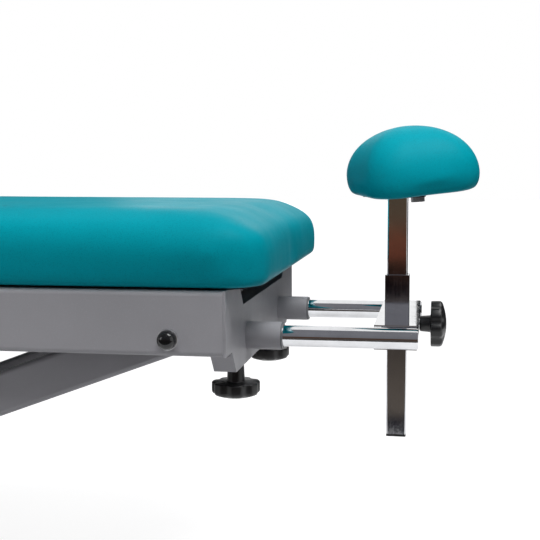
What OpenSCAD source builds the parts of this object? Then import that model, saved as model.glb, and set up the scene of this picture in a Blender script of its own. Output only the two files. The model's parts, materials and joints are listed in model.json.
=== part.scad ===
// Chiropractic table: base with a parallelogram lift and a hydraulic jack, top frame with three cushions,
// and a foot pad on a post carried by two sliding rods.
// X runs from head to foot, Y across, Z up. The origin is on the floor under the middle.

/* [Top frame] */
// Width over the side rails
frame_w = 486; // [440:2:560]
// Height of the side rails
rail_h = 71.5; // [60:0.5:90]
// Width of each side rail
rail_t = 40; // [30:1:50]
// Wall of the rectangular tubes
tube_wall = 3; // [2:0.5:4]
// Height of the cross tubes under the cushions
cross_h = 30; // [20:1:34]
// Width of the cross tubes under the cushions
cross_w = 40; // [30:1:60]
// Height of the rod axes above the bottom of the rails
rod_rise = 4; // [0:0.5:6]
// Depth of the folded foot cross-member along X
foot_depth = 26; // [24:1:36]
// Sheet thickness of the foot cross-member
foot_sheet = 3; // [2:0.5:4]
// How far the middle of the foot cross-member drops below the rails
foot_drop = 27; // [22:1:40]
// Half width of the dropped flat
drop_half_w = 185; // [160:1:190]
// Run of the slope beside the dropped flat
drop_run = 23; // [12:1:30]
// Depth of the notch in the top of the foot cross-member
notch_h = 27; // [12:1:28]
// Half width of the notch at its floor
notch_half_w = 144; // [120:1:170]
// Run of the slope at each end of the notch
notch_run = 23; // [8:1:25]

/* [Lift] */
// Length of a lift arm between its pivots
arm_len = 850; // [800:5:900]
// Distance between the front and the rear pivots
arm_pitch = 480; // [460:5:520]
// Angle of the arms as stored
lift_angle = 20.3; // [17:0.1:40]
// Height of an arm across its length
arm_h = 50; // [46:1:56]
// Width of an arm along Y
arm_w = 40; // [36:1:44]
// Half the distance between the inner faces of the arms
arm_y = 138; // [134:1:142]
// Distance from the foot face to the front upper pivots
pivot_inset = 63; // [60:1:80]
// Height of the upper pivots above the rod axes
top_pivot_rise = 15; // [10:1:25]
// Height of the base pivots above the floor
pivot_z = 62; // [58:1:80]
// Diameter of the base axles
axle_d = 25; // [20:1:28]
// Distance of the arm cross tubes from the base pivots
brace_s = 430; // [400:5:460]
// Side of the square arm cross tubes
brace_side = 40; // [30:1:46]
// Distance from the foot face to the beam at the head hinge
beam_back = 1322; // [1300:2:1350]

/* [Base] */
// Outer height of the base runners
runner_h = 64; // [60:1:70]
// Outer width of the base runners
runner_w = 40; // [36:1:46]
// Wall of the base runners
runner_wall = 5; // [4:0.5:6]
// Half width between the base runners
runner_y = 183; // [181:1:186]
// Base length past the front base pivots, towards the foot end
base_front = 373; // [340:1:400]
// Base length past the rear base pivots, towards the head end
base_back = 267; // [240:1:300]
// Width of the base cross tubes along X
base_tube_w = 50; // [40:2:60]
// Height of the base cross tubes
base_tube_h = 30; // [24:1:32]
// Diameter of the levelling feet
foot_d = 50; // [40:1:60]
// Height of the levelling foot pads
foot_h = 12; // [8:1:16]

/* [Jack and pump] */
// Distance of the jack's lower pin from the rear base pivots
jack_back = 340; // [320:5:360]
// Height of the jack's lower pin above the base pivots
jack_rise = 30; // [26:1:34]
// Length of the lever that the jack pushes
lever_len = 130; // [124:1:136]
// Outer diameter of the jack barrel
barrel_d = 60; // [56:1:66]
// Wall of the jack barrel
barrel_wall = 5; // [4:0.5:7]
// Length from the lower pin to the gland's outer end
barrel_len = 330; // [315:1:334]
// Diameter of the ram
ram_d = 36; // [30:1:40]
// Clearance round the ram and its piston
ram_gap = 2; // [1.8:0.1:2.5]
// Diameter of the jack pins
jack_pin_d = 16; // [14:1:18]
// Thickness of the lug and lever plates
lug_t = 8; // [6:0.5:10]
// Distance of the pedal shaft from the jack's lower pin
pedal_back = 90; // [86:1:110]
// Diameter of the pedal shaft
pedal_shaft_d = 20; // [16:1:22]
// Length of the pedal arms
pedal_len = 170; // [140:5:200]
// Angle of the pedal arms at rest
pedal_angle = 15; // [10:1:20]
// Crank length from the pedal shaft to the plunger
crank_len = 30; // [26:1:34]
// Diameter of the pump plunger
plunger_d = 12; // [10:1:14]

/* [Foot rest] */
// Diameter of the guide rods
rod_d = 25; // [20:1:28]
// Half the spacing of the guide rods
rod_half = 117; // [100:1:130]
// Length of the guide rods
rod_len = 379; // [360:1:420]
// How far the rods stand out of the foot face
rod_out = 199; // [150:1:260]
// Outer diameter of the rod sockets
guide_d = 33; // [30:0.5:34]
// Wall of the rod sockets
guide_wall = 2.25; // [1.5:0.25:2.5]
// How far the sockets stand out of the foot face
guide_out = 41; // [20:1:60]
// How far the sockets reach inwards
guide_in = 150; // [120:1:200]
// Length of the bracket plates along the rods
bracket_l = 50; // [40:1:70]
// Thickness of the bracket plates
bracket_t = 2; // [1.5:0.5:4]
// Side of the square post
post_side = 25; // [20:1:30]
// Wall of the square post
post_wall = 2; // [1.5:0.5:3]
// Length of the post
post_len = 301; // [260:0.5:360]
// Top of the post above the rod axes
post_top = 159; // [140:0.5:190]
// Wall of the post sleeve
sleeve_wall = 2; // [1.5:0.5:3]
// Gap between post and sleeve on each side
sleeve_gap = 0.5; // [0.3:0.1:1]
// Top of the sleeve above the rod axes
sleeve_top = 63; // [40:1:80]
// Offset of the pad bolt from the post axis
pad_offset = 24; // [20:1:34]
// Thickness of the pad plate
pad_plate_t = 4; // [3:0.5:6]
// Pad length
pad_l = 148; // [120:1:200]
// Pad width
pad_w = 148; // [120:1:180]
// Corner radius of the pad
pad_r = 40; // [30:1:55]
// Pad height
pad_h = 87; // [60:1:120]
// How far the pad is set back from its bolt, towards the table
pad_shift = 7; // [0:0.5:12]
// Slope of the pad and its plate, up towards the foot end
pad_tilt = 4; // [0:0.5:6]
// Angle that the pad is swivelled to
pad_angle = 23; // [0:1:90]

/* [Knobs] */
// Diameter of the lobed knobs
knob_d = 58; // [50:1:64]
// Number of lobes on a knob
knob_lobes = 7; // [5:1:9]
// Height of a knob's rim
knob_rim = 13.5; // [10:0.5:16]
// Height of the dome over the rim
knob_dome = 6; // [4:0.1:9]
// Diameter of a knob's hub
hub_d = 21; // [16:0.5:22]
// Length of a knob's hub
hub_l = 22; // [15:1:28]
// Diameter of the clamp screws
screw_d = 10; // [8:1:12]

/* [Cushions] */
// Width of the leg and chest cushions
cushion_w = 520; // [480:5:600]
// Height of the cushions
cushion_h = 86.5; // [60:0.5:110]
// How far a cushion's lower edge is tucked in
cushion_tuck = 20; // [8:1:24]
// Height of the widest line above a cushion's bottom
cushion_belly = 36; // [20:1:45]
// Run of the rounded upper edge
cushion_round = 44; // [30:1:60]
// Corner radius of the cushions in plan
cushion_r = 55; // [46:1:80]
// How far the leg cushion hangs over the foot face
leg_over = 47; // [30:1:60]
// Length of the leg cushion
leg_l = 767; // [700:1:800]
// Gap between the leg and chest cushions
cushion_gap = 8; // [4:1:20]
// Gap between the chest and head cushions
head_gap = 24; // [22:1:40]
// Thickness of the boards
board_t = 12; // [9:1:18]
// Margin between a board and the cushion's lower edge
board_margin = 8; // [4:1:20]
// Length of the head cushion
head_l = 380; // [340:5:420]
// Width of the head cushion
head_w = 320; // [300:5:360]
// Length of the face slot
slot_l = 210; // [180:5:230]
// Width of the face slot
slot_w = 76; // [60:1:90]

/* [Head hinge] */
// Half the spacing of the head frame bars
head_bar_y = 85; // [80:1:100]
// Width of the head frame bars
head_bar_w = 30; // [24:1:36]
// Height of the head frame bars
head_bar_h = 20; // [16:1:24]
// Diameter of the hinge pin
hinge_d = 12; // [10:1:16]
// Radius of the hinge eyes
hinge_eye = 15; // [13:0.5:15]

/* [Hidden] */
$fn = 48;

frame_paint = [0.52, 0.53, 0.55];
steel = [0.75, 0.76, 0.78];
dark_steel = [0.32, 0.33, 0.35];
black = [0.07, 0.07, 0.08];
teal = [0.06, 0.60, 0.65];
bush_grey = [0.45, 0.46, 0.48];

// Running fit between a shaft and its bore, on the radius
run_fit = 0.05;
// Side play between parts that turn against each other
side_play = 0.3;

// Frame heights, measured from the rod axes
rail_z0 = -rod_rise;
rail_z1 = rail_z0 + rail_h;
rail_y1 = frame_w / 2;
rail_y0 = rail_y1 - rail_t;
cross_z = rail_z1 - cross_h / 2;

// Lift geometry
lift_rise = arm_len * sin(lift_angle);
rods_z = pivot_z + lift_rise - top_pivot_rise;
arm_r = arm_h / 2;
arm_y1 = arm_y + arm_w;
pivot_bolt_r = 8;
washer_t = 2.5;
vent_s = 80;
torque_r = axle_d / 2 + 10;
torque_gap = 0.5;

// Head end, measured from the foot face
beam_x = -beam_back;
hinge_x = beam_x - cross_w / 2 - knob_d / 2 - 3;
hinge_z = rail_z1 - hinge_eye - 0.5;
hinge_lug_t = 6;
lug_gap = 0.5;
head_bar_y0 = head_bar_y - head_bar_w / 2;
head_bar_y1 = head_bar_y + head_bar_w / 2;
knob_seat_y = -(head_bar_y1 + lug_gap + hinge_lug_t + 1);
head_bar_l = head_l - 40;

// Cross tubes under the cushions, as shares of the leg cushion's reach
leg_tube_share = 0.46;
chest_tube_share = 1.11;

// Cushion places, measured from the foot face
board_z = rail_z1;
cushion_z = board_z + 1;
leg_x0 = leg_over - leg_l;
chest_x1 = leg_x0 - cushion_gap;
chest_x0 = hinge_x + head_gap / 2;
head_x1 = hinge_x - head_gap / 2;
head_x0 = head_x1 - head_l;

// Foot rest places, measured from the foot face and the rod axes
rod_r = rod_d / 2;
bracket_x1 = rod_out;
bracket_x0 = bracket_x1 - bracket_l;
sleeve_side = post_side + 2 * sleeve_gap + 2 * sleeve_wall;
sleeve_inset = 7.5;
post_x = bracket_x0 + sleeve_side / 2 + sleeve_inset;
sleeve_z0 = -rod_r - bracket_t;
boss_l = 12.5;
post_knob_x = post_x + sleeve_side / 2 + boss_l + 1;
pad_x = post_x + pad_offset;
pad_z = post_top + pad_plate_t / cos(pad_tilt) + pad_offset * tan(pad_tilt);
pad_bolt_d = 10;
pad_plate_w = 40;
pad_plate_end = 10;
pad_board_in = 22;
bolt_in = 10;
clamp_inset = 15;
clamp_x = -clamp_inset;
end_margin = 1.5;
weld_nut_h = 10;
knob_gap = 3.5;
post_hub_l = 14;
stud_in = 14;
floor_z = rail_z0 - foot_drop;

// The bounding box runs from the head cushion to the swivelled pad's belly
pad_belly = pad_h * 0.28;
pad_reach = (pad_l / 2 - pad_r) * cos(pad_angle) + (pad_w / 2 - pad_r) * sin(pad_angle) + pad_r;
pad_x1 = pad_x + (pad_reach - pad_shift) * cos(pad_tilt) - pad_belly * sin(pad_tilt);
foot_x = -(head_x0 + pad_x1) / 2;

// Base places, measured from the rear base pivots
rear_x = foot_x - pivot_inset - arm_pitch - arm_len * cos(lift_angle);
foot_stud_d = 12;
foot_inset = 35;
runner_z0 = pivot_z - runner_h / 2;
runner_y1 = runner_y + runner_w;
runner_x0 = -(arm_pitch + base_front);

// Jack, from its lower pin along its own axis
jack_run = jack_back + lever_len * sin(lift_angle);
jack_lift = lever_len * cos(lift_angle) - jack_rise;
jack_l = norm([jack_run, jack_lift]);
jack_angle = atan2(jack_lift, jack_run);
jack_eye_r = jack_pin_d / 2 + 10;
lug_y0 = jack_eye_r - 2;
lug_y1 = lug_y0 + lug_t;
eye_y = lug_y0 - 0.5;
gland_l = 15;
piston_l = 24;
barrel_floor = 40;
ram_l = 220;
ram_eye_l = 52;
base_tube_z = runner_z0 + 2 + base_tube_h / 2;
lug_foot_z = base_tube_z + base_tube_h / 2;
pedal_x = -(jack_back + pedal_back);
plunger_x = pedal_x + crank_len;
pump_l = 50;
pump_rise = 22;
pump_h = 48;
pump_z0 = pivot_z + pump_rise;
pump_z1 = pump_z0 + pump_h;
crank_r = 8;
plunger_in = 26;
pedal_y0 = runner_y1 + 8;
pedal_arm_t = 12;
pedal_pad_l = 100;
pedal_pad_w = 58;
pedal_pad_t = 10;

// ---- Helpers -------------------------------------------------------------

module top_at() {
    translate([foot_x, 0, rods_z]) children();
}

// Frame of the base: -X runs from the rear base pivots to the foot end
module base_at() {
    translate([rear_x, 0, 0]) rotate([0, 0, 180]) children();
}

// Frame of the arms on one pair of base pivots: -X runs up along them
module arms_at(pitch) {
    base_at() translate([-pitch, 0, pivot_z]) rotate([0, lift_angle, 0]) children();
}

// Frame of the jack: +X runs along it from the lower pin
module jack_at() {
    base_at() translate([-jack_back, 0, pivot_z + jack_rise]) rotate([0, -jack_angle, 0]) children();
}

module both_sides() {
    children();
    mirror([0, 1, 0]) children();
}

module cyl_x(r, x0, x1) {
    translate([x0, 0, 0]) rotate([0, 90, 0]) cylinder(r = r, h = x1 - x0);
}

module cyl_y(r, y0, y1) {
    translate([0, y1, 0]) rotate([90, 0, 0]) cylinder(r = r, h = y1 - y0);
}

module ring_y(r_out, r_in, y0, y1) {
    difference() {
        cyl_y(r_out, y0, y1);
        cyl_y(r_in, y0 - 1, y1 + 1);
    }
}

// Rectangle with round corners, centred
module round_rect(l, w, r) {
    square([l - 2 * r, w], center = true);
    square([l, w - 2 * r], center = true);
    for (sx = [-1, 1], sy = [-1, 1])
        translate([sx * (l / 2 - r), sy * (w / 2 - r)]) circle(r);
}

module tube_outline(w, h, wall, corner) {
    difference() {
        round_rect(w, h, corner);
        round_rect(w - 2 * wall, h - 2 * wall, corner / 2);
    }
}

// Rectangular tube along X from x0 to x1, w across and h high
module tube_x(x0, x1, w, h, wall) {
    translate([x0, 0, 0]) rotate([90, 0, 90]) linear_extrude(x1 - x0) tube_outline(w, h, wall, 2 * wall);
}

// Rectangular tube along Y between two sides, w along X and h high
module tube_y(y0, y1, w, h, wall) {
    translate([0, y1, 0]) rotate([90, 0, 0]) linear_extrude(y1 - y0) tube_outline(w, h, wall, 2 * wall);
}

// Channel along X, open towards -Y, its open side at y = 0
module channel_x(x0, x1, w, h, wall) {
    translate([x0, 0, 0]) rotate([90, 0, 90]) linear_extrude(x1 - x0)
        difference() {
            translate([0, -h / 2]) square([w, h]);
            translate([-1, -h / 2 + wall]) square([w - wall + 1, h - 2 * wall]);
        }
}

// Lobed knob along Z: a hub of length hub from 0 down, then the rim and its dome
module knob(hub) {
    head_h = knob_rim + knob_dome;
    scallop_r = knob_d * 0.14;
    translate([0, 0, -hub]) cylinder(d = hub_d, h = hub);
    translate([0, 0, -hub - head_h])
        intersection() {
            rotate_extrude()
                intersection() {
                    square([knob_d / 2, head_h]);
                    union() {
                        translate([0, knob_dome]) square([knob_d / 2, knob_rim]);
                        translate([0, dome_r()]) circle(dome_r(), $fn = 120);
                    }
                }
            linear_extrude(head_h)
                difference() {
                    circle(d = knob_d);
                    for (i = [0 : knob_lobes - 1])
                        rotate(360 * i / knob_lobes)
                            translate([knob_d / 2 + scallop_r * 0.55, 0]) circle(scallop_r);
                }
        }
}

// Radius of a knob's dome, from its rise and the rim
function dome_r() = (pow(knob_d / 2, 2) + pow(knob_dome, 2)) / (2 * knob_dome);

// Upholstered block: tucked in at the bottom, widest at the belly, rounded over at the top
module cushion(l, w, h, r, tuck, belly, round_run) {
    layer = 0.2;
    hull() {
        for (a = [0 : 15 : 90]) {
            inset = tuck * (1 - cos(90 - a));
            translate([0, 0, belly * (1 - sin(90 - a))])
                linear_extrude(layer) cushion_slice(l, w, r, inset);
        }
        for (a = [0 : 10 : 90]) {
            inset = round_run * (1 - cos(a));
            translate([0, 0, belly + (h - belly - layer) * sin(a)])
                linear_extrude(layer) cushion_slice(l, w, r, inset);
        }
    }
}

module cushion_slice(l, w, r, inset) {
    round_rect(l - 2 * inset, w - 2 * inset, max(r - inset, 6), $fn = 32);
}

// ---- Base ----------------------------------------------------------------

module base_runners() {
    web_y1 = runner_y + runner_wall + 1;
    color(frame_paint) base_at()
        both_sides()
            difference() {
                translate([0, runner_y1, pivot_z]) mirror([0, 1, 0])
                    channel_x(runner_x0, base_back, runner_w, runner_h, runner_wall);
                for (x = base_pivots())
                    translate([x, 0, pivot_z]) cyl_y(axle_d / 2, runner_y - 1, web_y1);
                translate([pedal_x, 0, pivot_z])
                    cyl_y(pedal_shaft_d / 2 + run_fit, runner_y - 1, web_y1);
                for (x = foot_places())
                    translate([x, runner_y + runner_w / 2, runner_z0 - 1])
                        cylinder(d = foot_stud_d, h = runner_wall + 2);
            }
}

function base_pivots() = [0, -arm_pitch];

function foot_places() = [base_back - foot_inset, runner_x0 + foot_inset];

module base_crossmembers() {
    end_inset = base_tube_w / 2 + 8;
    color(frame_paint) base_at()
        for (x = [base_back - end_inset, -jack_back, runner_x0 + end_inset])
            translate([x, 0, base_tube_z])
                tube_y(-runner_y, runner_y, base_tube_w, base_tube_h, tube_wall);
}

module levelling_feet() {
    nut_h = 6;
    color(black) base_at()
        both_sides()
            for (x = foot_places())
                translate([x, runner_y + runner_w / 2, 0]) {
                    cylinder(d1 = foot_d, d2 = foot_d - 6, h = foot_h);
                    cylinder(d = foot_stud_d, h = runner_z0 + runner_wall + nut_h);
                    translate([0, 0, runner_z0 - nut_h]) cylinder(d = foot_stud_d + 9, h = nut_h, $fn = 6);
                }
}

module base_axles() {
    cap_t = 6;
    axle_y = runner_y + runner_wall;
    color(steel) base_at()
        for (x = base_pivots())
            translate([x, 0, pivot_z]) {
                cyl_y(axle_d / 2, -axle_y, axle_y);
                both_sides() cyl_y(axle_d / 2 + 5, axle_y, axle_y + cap_t);
            }
}

module base_axle_spacers() {
    color(dark_steel) base_at()
        for (x = base_pivots())
            translate([x, 0, pivot_z])
                both_sides() ring_y(axle_d / 2 + 4, axle_d / 2, arm_y1 + side_play, runner_y);
}

// Two plates on the middle cross tube: they hold the jack's lower pin and the pump between them
module jack_lugs() {
    eye = [-jack_back, pivot_z + jack_rise];
    color(frame_paint) base_at()
        both_sides()
            difference() {
                translate([0, lug_y1, 0]) rotate([90, 0, 0]) linear_extrude(lug_t)
                    difference() {
                        union() {
                            translate(eye) circle(jack_eye_r);
                            polygon([
                                [eye[0] - base_tube_w / 2, lug_foot_z],
                                [eye[0] + base_tube_w / 2, lug_foot_z],
                                [eye[0] + jack_eye_r, eye[1]],
                                [eye[0], eye[1] + jack_eye_r],
                                [plunger_x + pump_l / 2, pump_z1],
                                [plunger_x - pump_l / 2, pump_z1],
                                [plunger_x - pump_l / 2, pump_z0],
                                [eye[0] - base_tube_w / 2, pump_z0 - 6]
                            ]);
                        }
                        translate(eye) circle(d = jack_pin_d);
                    }
            }
}

module jack_base_pin() {
    color(steel) base_at() translate([-jack_back, 0, pivot_z + jack_rise]) {
        cyl_y(jack_pin_d / 2, -lug_y1, lug_y1);
        both_sides() cyl_y(jack_pin_d / 2 + 4, lug_y1, lug_y1 + 4);
    }
}

module pump_block() {
    color(dark_steel) base_at()
        difference() {
            translate([plunger_x - pump_l / 2, -lug_y0, pump_z0])
                cube([pump_l, 2 * lug_y0, pump_z1 - pump_z0]);
            translate([plunger_x, 0, pump_z0 - 1])
                cylinder(r = plunger_d / 2 + run_fit, h = pump_z1 - pump_z0 - 8);
        }
}

// ---- Lift arms -----------------------------------------------------------

// Pair of arms: tubes with a hub at each pivot, and vent holes in the lower side
module arm_pair() {
    both_sides()
        difference() {
            union() {
                difference() {
                    translate([0, arm_y + arm_w / 2, 0]) tube_x(-arm_len, 0, arm_w, arm_h, tube_wall);
                    for (s = [vent_s, arm_len - vent_s])
                        translate([-s, arm_y + arm_w / 2, -arm_r - 1]) cylinder(d = 8, h = arm_r);
                }
                for (s = [0, arm_len])
                    translate([-s, 0, 0]) cyl_y(arm_r, arm_y, arm_y1);
            }
            cyl_y(axle_d / 2 + run_fit, arm_y - 1, arm_y1 + 1);
            translate([-arm_len, 0, 0]) cyl_y(pivot_bolt_r + run_fit, arm_y - 1, arm_y1 + 1);
        }
}

module arm_cross_tube() {
    translate([-brace_s, 0, 0]) tube_y(-arm_y, arm_y, brace_side, brace_side, tube_wall);
}

module torque_tube() {
    ring_y(torque_r, axle_d / 2 + torque_gap, -arm_y, arm_y);
}

module rear_arms() {
    color(frame_paint) arms_at(0) arm_pair();
}

// Torque tube on the rear base axle with the two plates that the jack pushes
module lift_lever() {
    color(frame_paint) arms_at(0) {
        torque_tube();
        both_sides()
            translate([0, lug_y1, 0]) rotate([90, 0, 0]) linear_extrude(lug_t)
                difference() {
                    union() {
                        circle(torque_r + 8);
                        translate([0, lever_len]) circle(jack_eye_r);
                        polygon([
                            [-torque_r - 6, 0], [torque_r + 6, 0],
                            [jack_eye_r - 1, lever_len], [-jack_eye_r + 1, lever_len]
                        ]);
                    }
                    circle(axle_d / 2 + torque_gap);
                    translate([0, lever_len]) circle(d = jack_pin_d);
                }
    }
}

module rear_cross_tube() {
    color(frame_paint) arms_at(0) arm_cross_tube();
}

module jack_top_pin() {
    color(steel) arms_at(0) translate([0, 0, lever_len]) {
        cyl_y(jack_pin_d / 2, -lug_y1, lug_y1);
        both_sides() cyl_y(jack_pin_d / 2 + 4, lug_y1, lug_y1 + 4);
    }
}

module front_arms() {
    color(frame_paint) arms_at(arm_pitch) arm_pair();
}

module front_torque_tube() {
    color(frame_paint) arms_at(arm_pitch) torque_tube();
}

module front_cross_tube() {
    color(frame_paint) arms_at(arm_pitch) arm_cross_tube();
}

// ---- Jack and pump -------------------------------------------------------

module jack_barrel() {
    bore_r = barrel_d / 2 - barrel_wall;
    color(dark_steel) jack_at()
        difference() {
            union() {
                cyl_x(barrel_d / 2, jack_eye_r + 6, barrel_len - gland_l);
                cyl_x(barrel_d / 2 + 3, barrel_len - gland_l, barrel_len);
                translate([0, -eye_y, -jack_eye_r]) cube([jack_eye_r + 7, 2 * eye_y, 2 * jack_eye_r]);
                cyl_y(jack_eye_r, -eye_y, eye_y);
            }
            cyl_x(bore_r, barrel_floor, barrel_len - gland_l);
            cyl_x(ram_d / 2 + ram_gap, barrel_floor, barrel_len + 1);
            cyl_y(jack_pin_d / 2 + run_fit, -eye_y - 1, eye_y + 1);
        }
}

module jack_ram() {
    piston_r = barrel_d / 2 - barrel_wall - ram_gap;
    color(steel) jack_at()
        difference() {
            union() {
                cyl_x(ram_d / 2, jack_l - ram_l, jack_l - ram_eye_l);
                cyl_x(piston_r, jack_l - ram_l - piston_l, jack_l - ram_l);
                translate([jack_l - ram_eye_l, -eye_y, 1 - jack_eye_r])
                    cube([ram_eye_l, 2 * eye_y, 2 * jack_eye_r - 2]);
                translate([jack_l, 0, 0]) cyl_y(jack_eye_r - 1, -eye_y, eye_y);
            }
            translate([jack_l, 0, 0]) cyl_y(jack_pin_d / 2 + run_fit, -eye_y - 1, eye_y + 1);
        }
}

module pedal_at() {
    base_at() translate([pedal_x, 0, pivot_z]) children();
}

// Shaft across the base with the crank that lifts the plunger
module pedal_shaft() {
    crank_half = eye_y - 6;
    color(steel) pedal_at() {
        cyl_y(pedal_shaft_d / 2, -pedal_y0 - pedal_arm_t, pedal_y0 + pedal_arm_t);
        cyl_y(pedal_shaft_d / 2 + 5, -crank_half, crank_half);
        translate([0, -crank_half, -crank_r]) cube([crank_len, 2 * crank_half, 2 * crank_r]);
        translate([crank_len, 0, 0]) cyl_y(crank_r, -crank_half, crank_half);
    }
}

module pedal_arms() {
    color(frame_paint) pedal_at() rotate([0, pedal_angle, 0])
        both_sides()
            difference() {
                translate([0, pedal_y0 + pedal_arm_t, 0]) rotate([90, 0, 0]) linear_extrude(pedal_arm_t)
                    union() {
                        circle(pedal_shaft_d / 2 + 8);
                        translate([-pedal_len, -12]) square([pedal_len, 24]);
                        translate([-pedal_len, 0]) circle(12);
                    }
                cyl_y(pedal_shaft_d / 2, pedal_y0 - 1, pedal_y0 + pedal_arm_t + 1);
            }
}

module pedal_pads() {
    pad_y = pedal_y0 + pedal_arm_t;
    color(black) pedal_at() rotate([0, pedal_angle, 0])
        both_sides()
            translate([-pedal_len + 12, pad_y + pedal_pad_w / 2, 0])
                linear_extrude(pedal_pad_t) round_rect(pedal_pad_l, pedal_pad_w, 10);
}

module pump_plunger() {
    color(steel) base_at()
        translate([plunger_x, 0, pivot_z + crank_r + 0.3])
            cylinder(d = plunger_d, h = pump_z0 + plunger_in - pivot_z - crank_r);
}

// ---- Top frame -----------------------------------------------------------

module side_rails() {
    color(frame_paint) top_at()
        both_sides()
            difference() {
                translate([0, rail_y1 - rail_t / 2, rail_z0 + rail_h / 2])
                    tube_x(beam_x - cross_w / 2, -foot_sheet, rail_t, rail_h, tube_wall);
                at_upper_pivots() cyl_y(pivot_bolt_r, rail_y0 - 1, rail_y1 + 1);
            }
}

// The front and the rear upper pivots, in the top frame
module at_upper_pivots() {
    for (x = [-pivot_inset, -pivot_inset - arm_pitch])
        translate([x, 0, top_pivot_rise]) children();
}

// Outline of the foot cross-member in Y and Z, drawn in by a thickness d
function foot_outline(d) =
    let (
        notch_shift = d * tan(atan2(notch_h, notch_run) / 2),
        drop_shift = d * tan(atan2(foot_drop, drop_run) / 2),
        edge_y = rail_y1 - end_margin - d,
        right = [
            [notch_half_w + notch_shift, rail_z1 - notch_h - d],
            [notch_half_w + notch_run + notch_shift, rail_z1 - d],
            [edge_y, rail_z1 - d],
            [edge_y, rail_z0 + d],
            [drop_half_w + drop_run - drop_shift, rail_z0 + d],
            [drop_half_w - drop_shift, floor_z + d]
        ]
    )
    concat(right, [for (i = [len(right) - 1 : -1 : 0]) [-right[i][0], right[i][1]]]);

module foot_crossmember() {
    color(frame_paint) top_at()
        difference() {
            union() {
                yz_plate(-foot_sheet, 0) polygon(foot_outline(0));
                intersection() {
                    yz_plate(-foot_depth, 0)
                        difference() {
                            polygon(foot_outline(0));
                            polygon(foot_outline(foot_sheet));
                        }
                    translate([-foot_depth - 1, -rail_y0, floor_z - 1])
                        cube([foot_depth + 2, 2 * rail_y0, rail_z1 - floor_z + 2]);
                }
                both_sides() clamp_place() cylinder(d = screw_d + 9, h = weld_nut_h, $fn = 6);
            }
            both_sides() translate([0, rod_half, 0]) cyl_x(guide_d / 2, -foot_depth - 1, 1);
            both_sides() clamp_place() translate([0, 0, -foot_sheet - 1])
                cylinder(r = screw_d / 2 + run_fit, h = foot_sheet + weld_nut_h + 2);
        }
}

// Plate standing across X between two places, drawn in Y and Z
module yz_plate(x0, x1) {
    translate([x0, 0, 0]) rotate([90, 0, 90]) linear_extrude(x1 - x0) children();
}

// Top of the foot cross-member's floor at a clamp screw
module clamp_place() {
    translate([clamp_x, rod_half, floor_z + foot_sheet]) children();
}

// Cross tubes under the cushions, and the beam with the head hinge lugs
module frame_crossmembers() {
    color(frame_paint) top_at() {
        for (x = [leg_x0 * leg_tube_share, leg_x0 * chest_tube_share, beam_x])
            translate([x, 0, cross_z]) tube_y(-rail_y0, rail_y0, cross_w, cross_h, tube_wall);
        both_sides()
            for (y = [head_bar_y0 - lug_gap, head_bar_y1 + lug_gap + hinge_lug_t])
                translate([0, y, 0]) rotate([90, 0, 0]) linear_extrude(hinge_lug_t)
                    difference() {
                        union() {
                            translate([hinge_x, hinge_z]) circle(hinge_eye);
                            translate([hinge_x, hinge_z - hinge_eye])
                                square([beam_x - cross_w / 2 - hinge_x, 2 * hinge_eye]);
                        }
                        translate([hinge_x, hinge_z]) circle(hinge_d / 2 + run_fit);
                    }
    }
}

module rod_guides() {
    color(frame_paint) top_at()
        both_sides()
            difference() {
                translate([0, rod_half, 0]) cyl_x(guide_d / 2, -guide_in, guide_out);
                translate([0, rod_half, 0]) cyl_x(guide_d / 2 - guide_wall, -guide_in - 1, guide_out + 1);
                clamp_place() cylinder(d = screw_d + 2, h = -floor_z);
            }
}

// Plain bushes at both ends of each socket, the front ones with a flange
module rod_bushes() {
    bush_l = 22;
    flange_t = 2;
    bush_r = guide_d / 2 - guide_wall;
    color(bush_grey) top_at()
        both_sides() translate([0, rod_half, 0])
            difference() {
                union() {
                    cyl_x(bush_r, guide_out - bush_l, guide_out);
                    cyl_x(guide_d / 2 - 0.5, guide_out, guide_out + flange_t);
                    cyl_x(bush_r, -guide_in, -guide_in + bush_l);
                }
                cyl_x(rod_r + run_fit, -guide_in - 1, guide_out + flange_t + 1);
            }
}

// Pivot bolts with their washers on the outside of the rails
module pivot_bolts() {
    color(steel) top_at() at_upper_pivots()
        both_sides() {
            cyl_y(pivot_bolt_r, arm_y - 6, rail_y1 + 10);
            cyl_y(pivot_bolt_r + 3.5, rail_y1, rail_y1 + washer_t);
            cyl_y(pivot_bolt_r + 3, arm_y - 4, arm_y - side_play);
        }
}

module pivot_spacers() {
    color(dark_steel) top_at() at_upper_pivots()
        both_sides() ring_y(pivot_bolt_r + 6, pivot_bolt_r, arm_y1 + side_play, rail_y0);
}

module pivot_caps() {
    cap_y0 = rail_y1 + washer_t;
    cap_l = 13;
    cap_r = pivot_bolt_r + 2.5;
    chamfer = 2;
    color(black) top_at() at_upper_pivots()
        both_sides()
            difference() {
                union() {
                    cyl_y(cap_r, cap_y0, cap_y0 + cap_l - chamfer);
                    translate([0, cap_y0 + cap_l - chamfer, 0]) rotate([-90, 0, 0])
                        cylinder(r1 = cap_r, r2 = cap_r - chamfer, h = chamfer);
                }
                cyl_y(pivot_bolt_r, cap_y0 - 1, rail_y1 + 10);
            }
}

// ---- Cushions ------------------------------------------------------------

// The board lies inside the lower edge of the cushion that spans x0 to x1
module board_shape(x0, x1, w) {
    margin = cushion_tuck + board_margin;
    translate([(x0 + x1) / 2, 0, board_z])
        linear_extrude(board_t)
            round_rect(x1 - x0 - 2 * margin, w - 2 * margin, cushion_r - board_margin - cushion_tuck / 2);
}

module cushion_shape(x0, x1, w) {
    difference() {
        translate([(x0 + x1) / 2, 0, cushion_z])
            cushion(x1 - x0, w, cushion_h, cushion_r, cushion_tuck, cushion_belly, cushion_round);
        board_shape(x0, x1, w);
    }
}

module leg_board() {
    color(black) top_at() board_shape(leg_x0, leg_over, cushion_w);
}

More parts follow.
